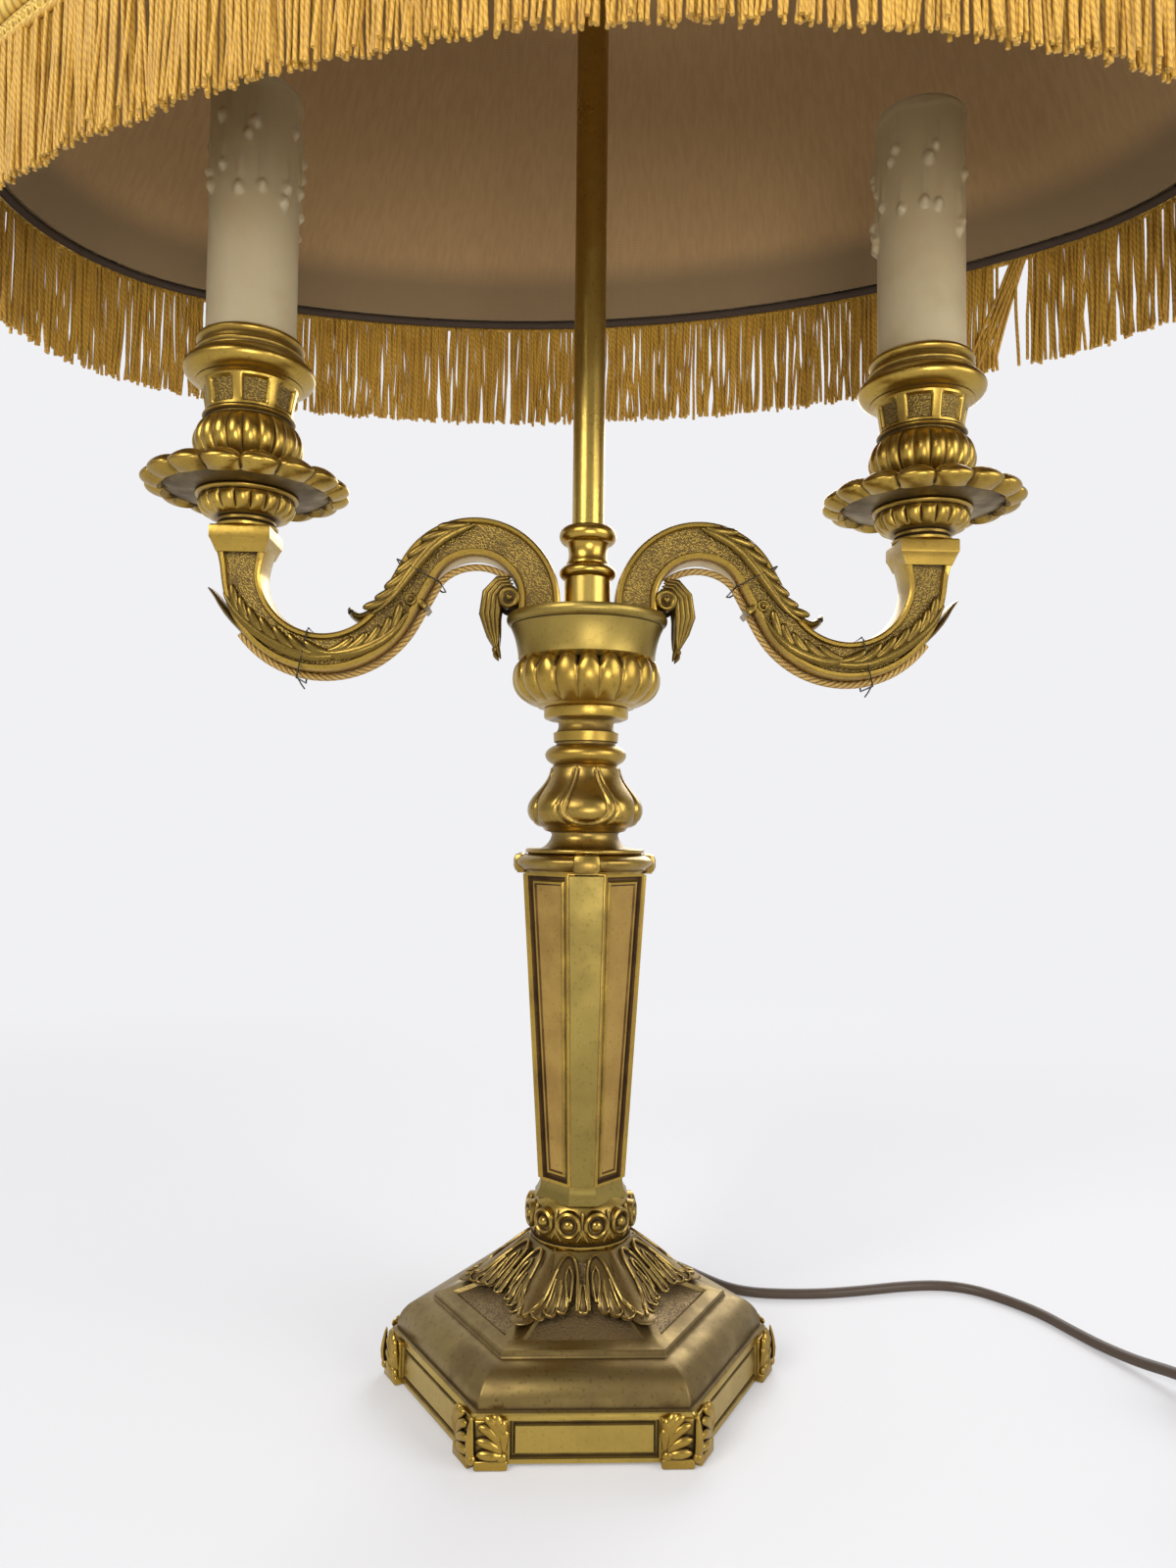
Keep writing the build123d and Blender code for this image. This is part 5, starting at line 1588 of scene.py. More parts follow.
            for side in (-1, 1):
                web.finger(rib_frames(self.laid(face, side, shield, 0.0), out), 4.6, 0.75, 10, 12, 0.5)
                for path, width in lobes:
                    self.lobe(self.laid(face, side, path, 0.2), out, width, web, veins)
                for path, radius in ((sweep, 0.55), (eye, 0.4)):
                    line = rib_frames(self.laid(face, side, path, self.rim_height + 0.2), out)
                    points = [line(step / 48).translation for step in range(49)]
                    veins.add(cord_tube(points, radius, 6))
        for rim in veins.bm.faces:
            rim.material_index = 1
        web.add(veins)
        web.piece("leaf_collar_cast", "lamp", (Finish.LEAF, Finish.VEIN), "gilt_brass", ("leaf_collar",), 60)

    def build(self) -> None:
        """Make the base."""
        self.casting()
        self.mounts()
        self.collar()


# The column and the cup


@dataclass
class Column:
    """The tapered column with its roundel ring, cap, vase, knop, bowl and cup."""

    foot: float = 41.6
    roundel_top: float = 54.9
    shaft_top: float = 152.1
    cap_top: float = 158.2
    vase_top: float = 185.2
    knop_top: float = 203.3
    bowl_top: float = 218.0
    cup_top: float = 232.0
    sleeve_foot: float = 229.0
    sleeve_top: float = 244.0
    spool_top: float = 260.3
    bore: float = 5.15
    shaft_halves: tuple[float, float] = (12.4, 18.2)
    strip_halves: tuple[float, float] = (3.8, 5.6)

    def turned(
        self,
        name: str,
        outline: Outline,
        nodes: Sequence[str],
        steps: int = 96,
        finish: Finish = Finish.GILT,
    ) -> None:
        """One plain turned piece.

        Args:
            name: its name.
            outline: its outline.
            nodes: CAD nodes that it stands for.
            steps: divisions of the turn.
            finish: its finish.
        """
        Sculpt().turn(outline, steps).piece(name, "lamp", (finish,), "gilt_brass", nodes, 32)

    def roundels(self) -> None:
        """The rounded drum with its belt of ringed bosses and small leaves."""
        low, high = self.foot, self.roundel_top
        outline = [(self.bore, low), (15.0, low), (15.3, low + 0.4), (15.2, low + 1.2)]
        outline += bulge((14.4, low + 1.2), (12.8, high - 0.2), 2.3, 14)
        outline += [(12.4, high), (self.bore, high)]
        belt = Sculpt().turn(outline, 96)
        dome = [(0.0, 1.7), (0.8, 1.6), (1.3, 1.1), (1.5, 0.3), (1.85, 0.25)]
        dome += [(2.1, 1.0), (2.6, 1.25), (3.1, 0.9), (3.3, -0.8)]
        boss = Sculpt().turn(dome, 24, False)
        middle = (low + high) / 2
        for index in range(12):
            angle = 15 + 30 * index
            belt.add(boss, at_angle(angle, 15.3, middle + 0.9) @ Matrix.Scale(1.24, 4))
            belt.ball((0.8, 3.8, 0.9), at_angle(angle + 15, 15.2, middle + 1.4), 8)
            for side in (-1, 1):
                lean = Matrix.Rotation(math.radians(side * 26), 4, "Z")
                belt.ball((0.55, 2.3, 0.7), at_angle(angle + 15 + side * 3.0, 15.3, middle - 2.4) @ lean, 6)
        belt.piece("roundel_belt", "lamp", (Finish.AGED,), "gilt_brass", ("roundel_ring",), 46)

    def shaft(self) -> None:
        """The eight-sided shaft: bright strips on the axes, framed panels between them."""
        low_half, high_half = self.shaft_halves
        low_strip, high_strip = self.strip_halves
        top = self.shaft_top
        foot = self.roundel_top + 4.2
        levels = []
        steps = 8
        for step in range(steps + 1):
            left = 1 - step / steps
            levels.append((foot - 4.8 * left, low_half + 1.7 * left**2.4, low_strip + 0.3 * left))
        levels.append((top, high_half, high_strip))

        def octagon(half: float, strip: float) -> list[tuple[float, float]]:
            """Corners of the section."""
            quarter = [(half, -strip), (half, strip), (strip, half), (-strip, half)]
            return quarter + [(-x, -y) for x, y in quarter]

        sections = [octagon(half, strip) for _, half, strip in levels]
        shaft = Sculpt().sweep(sections, [Matrix.Translation((0, 0, height)) for height, _, _ in levels])
        sides = [face for face in shaft.bm.faces if foot < face.calc_center_median().z < top - 1]
        sides = [face for face in sides if abs(face.normal.z) < 0.4]
        panels = [face for face in sides if min(abs(face.normal.x), abs(face.normal.y)) > 0.3]
        strips = [face for face in sides if face not in panels]
        mouldings = ((0.9, 0.0, 0), (0.5, -1.1, 3), (0.6, 0.0, 3))
        mouldings += ((0.6, 0.7, 0), (0.6, 0.0, 0), (0.5, -0.4, 3))
        for thickness, depth, index in mouldings:
            for face in shaft.inset(panels, thickness, depth):
                face.material_index = index
        for thickness, depth in ((0.25, 0.0), (0.35, 0.8)):
            shaft.inset(strips, thickness, depth)
        for panel in panels:
            panel.material_index = 1
        for strip_face in strips + [f for f in shaft.bm.faces if f.calc_center_median().z < foot]:
            strip_face.material_index = 2
        finishes = (Finish.GILT, Finish.PANEL, Finish.STRIP, Finish.GROOVE)
        shaft.piece("tapered_shaft", "lamp", finishes, "gilt_brass", ("column",), 24)

    def cap(self) -> None:
        """The torus cap, with a strap over it on each strip of the shaft."""
        low, high = self.shaft_top, self.cap_top
        outline = [(self.bore, low), (18.4, low), (18.6, low + 0.6)]
        outline += bulge((19.2, low + 0.9), (18.6, high - 0.7), 2.6, 12)
        outline += [(17.8, high - 0.5), (17.4, high), (self.bore, high)]
        cap = Sculpt().turn(outline, 96)
        middle = (low + high) / 2
        for side in range(4):
            cap.block((8.6, 6.0, 5.0), at_angle(90 * side, 19.5, middle - 0.1), 1.9)
            cap.block((7.0, 1.0, 2.6), at_angle(90 * side, 19.6, low + 0.3), 0.3)
        cap.piece("strapped_cap", "lamp", (Finish.AGED,), "gilt_brass", ("column_cap",), 40)

    def vase(self) -> None:
        """The vase knop: tongues with raised rims on the axes, plain lobes between them."""
        low, high = self.cap_top, self.vase_top
        belly = low + 13.6
        outline = [(self.bore, low), (18.3, low), (18.5, low + 0.5), (18.3, low + 1.0)]
        outline += bulge((17.8, low + 1.3), (10.3, low + 5.4), -2.0, 8)
        outline += [(10.6, low + 6.2), (12.4, low + 6.7), (13.0, low + 7.4)]
        outline += bulge((13.3, low + 7.8), (17.8, belly), 1.5, 10)
        rows = 20
        for row in range(1, rows + 1):
            share = row / rows
            radius = 10.9 + 6.9 * (math.cos(math.pi * share**0.92) + 1) / 2
            outline.append((radius, belly + (high - 0.9 - belly) * share))
        outline += [(10.4, high - 0.4), (10.2, high), (self.bore, high)]

        def lobes(angle: float, radius: float, height: float) -> tuple[float, float]:
            """Tongues with a double rim on the axes, round lobes on the diagonals.

            Args:
                angle: bearing, in radians.
                radius: distance from the axis.
                height: its height.

            Returns:
                The new radius and height.
            """
            if height < low + 7.7 or height > high - 0.7 or radius < 9.0:
                return radius, height
            quarter = (math.degrees(angle) + 45) % 90 - 45
            spread = 27.0 - 12.0 * max(0.0, height - belly) / (high - belly)
            drop = max(0.0, belly - height) / 5.6
            reach = math.hypot(quarter / spread, drop)
            fade = within(height, (low + 7.7, low + 8.8), (high - 2.6, high - 0.7))
            lines = ((0.98, 0.09), (0.80, 0.06), (1.16, 0.06))
            rim, groove, seam = (math.exp(-(((reach - middle) / width) ** 2)) for middle, width in lines)
            boss = max(0.0, 1 - (reach / 0.66) ** 2) ** 0.6
            aside = (45 - abs(quarter)) / max(4.0, 45 - 1.25 * spread)
            lobe = max(0.0, 1 - aside * aside) ** 0.5
            relief = 0.4 * rim - 0.7 * groove + 0.25 * boss - 0.6 * seam + 0.4 * lobe - 0.1
            return radius + fade * relief, height

        vase = Sculpt().turn(outline, 288).swell(lobes)
        vase.piece("vase_knop_cast", "lamp", (Finish.AGED,), "gilt_brass", ("vase_knop",), 50)

    def bowl(self) -> None:
        """The bowl of upright gadroons with scalloped tops."""
        low, high = self.knop_top, self.bowl_top
        count = 20
        outline = [(self.bore, low), (15.0, low), (15.4, low + 0.4)]
        outline += bulge((15.8, low + 0.7), (22.0, high - 1.3), 3.7, 26)
        outline += [(21.5, high - 0.6), (20.6, high - 0.1), (19.4, high), (self.bore, high)]

        def gadroon(angle: float, radius: float, height: float) -> tuple[float, float]:
            """Wide round lobes with narrow grooves, lower in the grooves at the top.

            Args:
                angle: bearing, in radians.
                radius: distance from the axis.
                height: its height.

            Returns:
                The new radius and height.
            """
            if radius < 12:
                return radius, height
            lobe = lobed(angle, count, 0.42)
            body = smooth_step(height, low + 0.4, low + 2.6)
            crown = smooth_step(height, high - 5.0, high - 0.4)
            grow = body * (1.5 * lobe - 1.3) - crown * (1 - lobe) * 1.4
            return radius + grow, height - crown * (1 - lobe) * 3.0

        bowl = Sculpt().turn(outline, count * 16).swell(gadroon)
        bowl.piece("gadrooned_bowl", "lamp", (Finish.GILT,), "gilt_brass", ("gadroon_bowl",), 60)

    def knop(self) -> None:
        """The turned knop: torus, ring, cove and disc."""
        low, high = self.vase_top, self.knop_top
        knop = [(self.bore, low), (9.9, low), (10.2, low + 0.4)]
        knop += bulge((10.6, low + 0.6), (10.4, low + 6.0), 2.2, 12)
        knop += [(9.2, low + 6.5), (9.3, low + 7.2), (10.0, low + 7.4), (10.2, low + 10.2), (9.4, low + 10.5)]
        knop += bulge((9.0, low + 10.9), (11.6, low + 14.2), -1.8, 8)
        knop += [(12.9, low + 14.7), (13.2, low + 15.2), (13.2, high - 0.4), (12.8, high), (self.bore, high)]
        self.turned("turned_knop_ring", knop, ("turned_knop",))

    def cup(self) -> None:
        """The flared cup that carries the arms."""
        low, high = self.bowl_top, self.cup_top
        cup = [(self.bore, low - 1.0), (19.6, low - 1.0), (20.8, low + 0.1), (21.3, low + 0.4)]
        cup += bulge((21.5, low + 0.6), (23.9, high - 3.8), -0.5, 10) + [(23.6, high - 3.5)]
        cup += bulge((24.0, high - 3.2), (25.0, high - 0.4), 0.7, 8)
        cup += [(24.8, high), (23.5, high), (23.2, high - 0.3), (23.2, high - 3.2), (19.4, high - 5.8)]
        cup += [(16.4, high - 6.2), (16.4, low + 3.0), (self.bore, low + 3.0)]
        self.turned("flared_cup_cast", cup, ("flared_cup",), 96, Finish.CUP)

    def stem(self) -> None:
        """The plain sleeve in the cup and the spool collar on it."""
        low, high = self.sleeve_foot, self.sleeve_top
        sleeve = [(self.bore, low), (7.2, low), (7.2, high), (self.bore, high)]
        self.turned("stem_sleeve_tube", sleeve, ("stem_sleeve",), 64, Finish.POLISHED)
        low, high = self.sleeve_top, self.spool_top
        spool = [(self.bore, low), (7.6, low)] + bulge((7.9, low + 0.2), (7.9, low + 3.6), 1.0, 8)
        spool += [(7.2, low + 4.0), (6.7, low + 4.6)] + bulge((6.7, low + 5.0), (6.7, high - 5.4), -0.7, 8)
        spool += [(7.0, high - 5.1), (7.6, high - 5.0)] + bulge((8.0, high - 4.8), (8.0, high - 0.4), 1.0, 8)
        spool += [(7.4, high), (self.bore, high)]
        self.turned("spool_collar_ring", spool, ("spool_collar",), 64)

    def build(self) -> None:
        """Make the stack from the base to the stem."""
        self.roundels()
        self.shaft()
        self.cap()
        self.vase()
        self.knop()
        self.bowl()
        self.cup()
        self.stem()


# The arms


@dataclass
class ScrollArm:
    """One S-scroll arm with its volutes, leaves, flex and wire ties."""

    side: int
    root_x: float = 15.0
    root_z: float = 229.0
    arch: tuple[float, float] = (35.0, 236.0)
    arch_radius: float = 20.0
    scroll: tuple[float, float] = (81.8, 244.0)
    scroll_radius: float = 25.0
    reach: float = 106.8
    top_z: float = 250.8
    abacus_top: float = 257.5
    half: float = 6.0
    depth: float = 6.25
    tie_bearing: float = 282.0
    flex_bearing: float = 324.0
    flex_radius: float = 1.1
    wire: float = 0.28

    def __post_init__(self) -> None:
        """Work out where the straight between the two arcs leaves them."""
        dx, dz = self.scroll[0] - self.arch[0], self.scroll[1] - self.arch[1]
        spread = math.acos((self.arch_radius + self.scroll_radius) / math.hypot(dx, dz))
        self.leave = math.atan2(dz, dx) + spread
        first = self.arch[1] - self.root_z
        second = self.arch_radius * (math.pi - self.leave)
        third = math.sqrt(dx * dx + dz * dz - (self.arch_radius + self.scroll_radius) ** 2)
        fourth = self.scroll_radius * (math.pi - self.leave)
        self.legs = (first, second, third, fourth, self.top_z - self.scroll[1])

    def spot(self, distance: float) -> tuple[Vector, Vector]:
        """A point of the arm's middle line, in its own plane with X away from the stem.

        Args:
            distance: travel from the root.

        Returns:
            The point and the direction of travel.
        """
        first, second, third, fourth, fifth = self.legs
        if distance <= first:
            return Vector((self.root_x, self.root_z + distance)), Vector((0.0, 1.0))
        distance -= first
        if distance <= second:
            angle = math.pi - distance / self.arch_radius
            way = Vector((math.sin(angle), -math.cos(angle)))
            return Vector(self.arch) + self.arch_radius * Vector((math.cos(angle), math.sin(angle))), way
        distance -= second
        way = Vector((math.sin(self.leave), -math.cos(self.leave)))
        start = Vector(self.arch) + self.arch_radius * Vector((math.cos(self.leave), math.sin(self.leave)))
        if distance <= third:
            return start + way * distance, way
        distance -= third
        if distance <= fourth:
            angle = self.leave + math.pi + distance / self.scroll_radius
            way = Vector((-math.sin(angle), math.cos(angle)))
            return Vector(self.scroll) + self.scroll_radius * Vector((math.cos(angle), math.sin(angle))), way
        distance -= fourth
        return Vector((self.reach, self.scroll[1] + min(distance, fifth))), Vector((0.0, 1.0))

    def frame(self, distance: float, size: float = 1.0, flare: float = 1.0) -> Matrix:
        """The section's frame: X to the arm's upper side, Y to the back, Z along it.

        Args:
            distance: travel from the root.
            size: scale of the section.
            flare: how much wider still it is across.

        Returns:
            The frame.
        """
        here, way = self.spot(distance)
        up = Vector((-way.y, way.x))
        return Matrix(
            (
                (up.x * size * flare, 0, way.x, here.x),
                (0, size, 0, 0),
                (up.y * size * flare, 0, way.y, here.y),
                (0, 0, 0, 1),
            )
        )

    def travel(self) -> float:
        """Length of the whole middle line."""
        return sum(self.legs)

    def bar(self) -> Sculpt:
        """The bar: raised borders, sunk punched faces, rounded upper and lower sides.

        Returns:
            The bar, on the right.
        """
        h, d = self.half, self.depth
        rim, sink = 1.7, 1.1
        front = [(-h + 0.8, -d), (-h + rim, -d), (-h + rim + 0.5, -d + sink)]
        front += [(h - rim - 0.5, -d + sink), (h - rim, -d), (h - 0.8, -d)]
        upper = [(h - 0.2, -d + 0.4), (h, -d + 1.2), (h + 0.25, 0.0), (h, d - 1.2), (h - 0.2, d - 0.4)]
        back = [(x, -y) for x, y in reversed(front)]
        lower = [(-x, y) for x, y in reversed(upper)]
        section = front + upper + back + lower
        total = self.travel()
        count = 96
        frames = []
        for step in range(count + 1):
            stop = total * step / count
            swell = 1.0 + 0.10 * (1 - smooth_step(stop, 0.0, 24.0)) - 0.03 * math.sin(math.pi * stop / total)
            frames.append(self.frame(stop, swell, 1.0 + 0.32 * max(0.0, (stop - total + 11.0) / 11.0) ** 2))
        bar = Sculpt().sweep([section] * len(frames), frames)
        bar.lanes({2, 3}, 1)
        bar.lanes({13, 14}, 1)
        return bar

    def line(self, points: Points, depth: float, out: Vector) -> Spine:
        """Frames along points of the arm's own plane.

        Args:
            points: away from the stem and height of each point.
            depth: their place from front to back.
            out: outward direction of what follows them.

        Returns:
            A function from a share of the line to its frame.
        """
        return rib_frames([Vector((x, depth, z)) for x, z in points], out)

    def faces(self) -> Sculpt:
        """Leaves, volutes and bosses on the arm's front and back.

        Returns:
            The shape.
        """
        made = Sculpt()
        crest = ((35.0, 259.6), (41.1, 257.2), (47.1, 253.4), (52.6, 247.0))
        crest += ((57.6, 240.0), (62.3, 234.2), (67.4, 230.2))
        inner = ((82.0, 218.4), (74.0, 218.6), (66.0, 221.2), (59.5, 225.8), (54.6, 232.4))
        outer = ((75.0, 218.0), (86.8, 217.8), (97.8, 222.4), (106.6, 229.4), (112.2, 237.4))
        boss = [(0.0, 1.5), (0.8, 1.4), (1.25, 0.9), (1.5, 0.2), (2.0, 0.3)]
        boss += [(2.5, 1.0), (3.3, 1.2), (4.0, 0.8), (4.4, -0.2), (4.4, -2.0)]
        eye = Sculpt().turn(boss, 36, False)
        for front in (-1, 1):
            out = Vector((0, front, 0))
            depth = front * (self.depth - 0.2)
            for points, leaf in (
                (crest, Acanthus(3.7, 7, 0.24, front)),
                (inner, Acanthus(4.4, 5, 0.32, -front)),
                (outer, Acanthus(4.6, 7, 0.25, front)),
            ):
                made.add(leaf.lay(self.line(points, depth, out)))
            for x, z, size in ((24.4, 236.8, 0.82), (54.6, 235.6, 0.46)):
                turn = Matrix(((1, 0, 0, x), (0, 0, front, depth), (0, 1, 0, z), (0, 0, 0, 1)))
                made.add(eye, turn @ Matrix.Scale(size, 4))
            for step in range(4):
                drop = (
                    (22.4 + 0.5 * step, 240.2 + 1.1 * step),
                    (26.6 + 1.0 * step, 239.6 + 0.8 * step),
                    (28.0 + 1.6 * step, 234.4 + 0.3 * step),
                    (28.0 + 1.35 * step, 228.8),
                    (27.8 + 0.7 * step, 224.2),
                    (28.3 + 0.1 * step, 221.0),
                )
                made.finger(self.line(drop, front * (4.9 - 0.2 * step), out), 1.0, 1.0, flare=-0.9)
        return made

    def curls(self) -> Sculpt:
        """What runs through the arm from front to back: hanging leaf, leaf lips and the little shelf.

        Returns:
            The shape.
        """
        made = Sculpt()
        drop = ((24.6, 241.6), (28.6, 239.6), (30.2, 234.4), (29.7, 228.8), (28.7, 223.6), (27.0, 218.4))
        made.finger(self.line(drop, 0.0, Vector((1, 0, 0.2))), 4.4, 2.6, 16, 16, -1.1)
        made.ball((1.25, 1.9, 1.25), Matrix.Translation((28.6, 0, 221.4)), 10)
        tip = ((29.0, 221.2), (28.6, 219.6), (27.6, 217.8))
        made.finger(self.line(tip, 0.0, Vector((1, 0, 0.2))), 1.2, 0.8, 8, 8, -0.9)
        lip = ((57.0, 243.0), (62.6, 235.9), (67.2, 231.6), (70.8, 230.4), (73.6, 232.2), (74.2, 234.0))
        made.finger(self.line(lip, 0.0, Vector((0.6, 0, 0.8))), 5.6, 1.6, 16, 18)
        tail = ((96.0, 218.4), (105.4, 224.8), (111.6, 231.4), (115.2, 236.6), (118.2, 239.6))
        made.finger(self.line(tail, 0.0, Vector((0.7, 0, -0.7))), 5.4, 1.1, 16, 14)
        shelf = Matrix.Translation((51.0, 0, 234.4)) @ Matrix.Rotation(math.radians(52), 4, "Y")
        made.block((2.2, 12.0, 3.2), shelf, 0.4)
        return made

    def abacus(self) -> Sculpt:
        """The moulded block on top of the upright.

        Returns:
            The block.
        """
        square = [(0.5 * sx, 0.435 * sy) for sx, sy in ((-1, -1), (1, -1), (1, 1), (-1, 1))]
        low, high = self.top_z - 1.4, self.abacus_top
        levels = [(14.9, low), (15.6, low + 0.9), (16.6, low + 2.2), (17.8, low + 3.6), (18.2, low + 3.8)]
        levels += [(18.4, low + 4.2), (18.4, high - 0.6), (18.1, high - 0.2), (17.6, high)]
        return Sculpt().add(Sculpt().loft(square, levels), Matrix.Translation((self.reach, 0, 0)))

    def placed(self, shape: Sculpt) -> Sculpt:
        """A shape on its own side of the lamp."""
        return Sculpt().add(shape, Matrix.Diagonal((self.side, 1, 1, 1)))

    def flex_path(self) -> list[Vector]:
        """Middle line of the braided flex along the inner edge of the arm.

        Returns:
            The points.
        """
        points = []
        off = self.half + 1.2
        first = self.legs[0]
        start = first + self.arch_radius * math.radians(37)
        bend = math.radians(self.flex_bearing) - self.leave - math.pi
        stop = first + self.legs[1] + self.legs[2] + self.scroll_radius * bend
        count = 70
        for step in range(count + 1):
            travel = start + (stop - start) * step / count
            here, way = self.spot(travel)
            slack = 1.5 * math.sin(math.pi * min(1.0, (travel - start) / (first + self.legs[1] - start)))
            points.append(Vector((here.x + way.y * (off + slack), 0, here.y - way.x * (off + slack))))
        return points

    def ties(self) -> Sculpt:
        """Dark wire loops that hold the flex, each with a loose end.

        Returns:
            The loops.
        """
        made = Sculpt()
        first, second, third = self.legs[:3]
        lower = self.scroll_radius * (math.radians(self.tie_bearing) - self.leave - math.pi)
        high, low, deep, cut = self.half + 0.75, -(self.half + 2.9), self.depth + 0.75, 1.0
        rounded = []
        for x, y in ((high, -deep), (low, -deep), (low, deep), (high, deep)):
            across = (x, y - math.copysign(cut, y)), (x - math.copysign(cut, x), y)
            rounded += across if (x > 0) == (y < 0) else across[::-1]
        upper_tie = (first + second + 0.8, Vector((0.8, -1.4, 0.5)))
        lower_tie = (first + second + third + lower, Vector((-2.4, -1.2, -3.4)))
        for distance, tail in (upper_tie, lower_tie):
            place = self.frame(distance)
            bent = [Vector((x, y, 0.35 * math.sin(3 * index))) for index, (x, y) in enumerate(rounded)]
            made.add(cord_tube([place @ point for point in bent], self.wire, 6, True))
            end = place @ Vector((low + 0.4, -deep + 0.3, 0))
            loose = [end, end + tail * 0.4, end + tail * 0.8 + Vector((0.3, 0, 0.3)), end + tail * 1.2]
            made.add(cord_tube(loose, self.wire * 0.9, 6))
        return made

    def build(self) -> Sculpt:
        """Make the arm and its flex, and shape its ties.

        Returns:
            The ties, which both arms make one piece of.
        """
        word = hand(self.side)
        bar = self.placed(self.bar())
        bar.add(self.placed(self.abacus()))
        finishes = (Finish.GILT, Finish.GROUND)
        bar.piece(f"{word}_scroll_arm", "lamp", finishes, "gilt_brass", (f"{word}_arm",), 30)
        leaves = self.placed(self.faces())
        leaves.add(self.placed(self.curls()))
        leaves.piece(f"{word}_arm_leaves", "lamp", (Finish.SPRAY,), "gilt_brass", (), 60)
        flex = self.placed(cord_tube(self.flex_path(), self.flex_radius, 12))
        flex.piece(f"{word}_braided_flex", "lamp", (Finish.FLEX,), "flex_gold", (f"{word}_arm_flex",), 60)
        return self.placed(self.ties())


# The candle holders


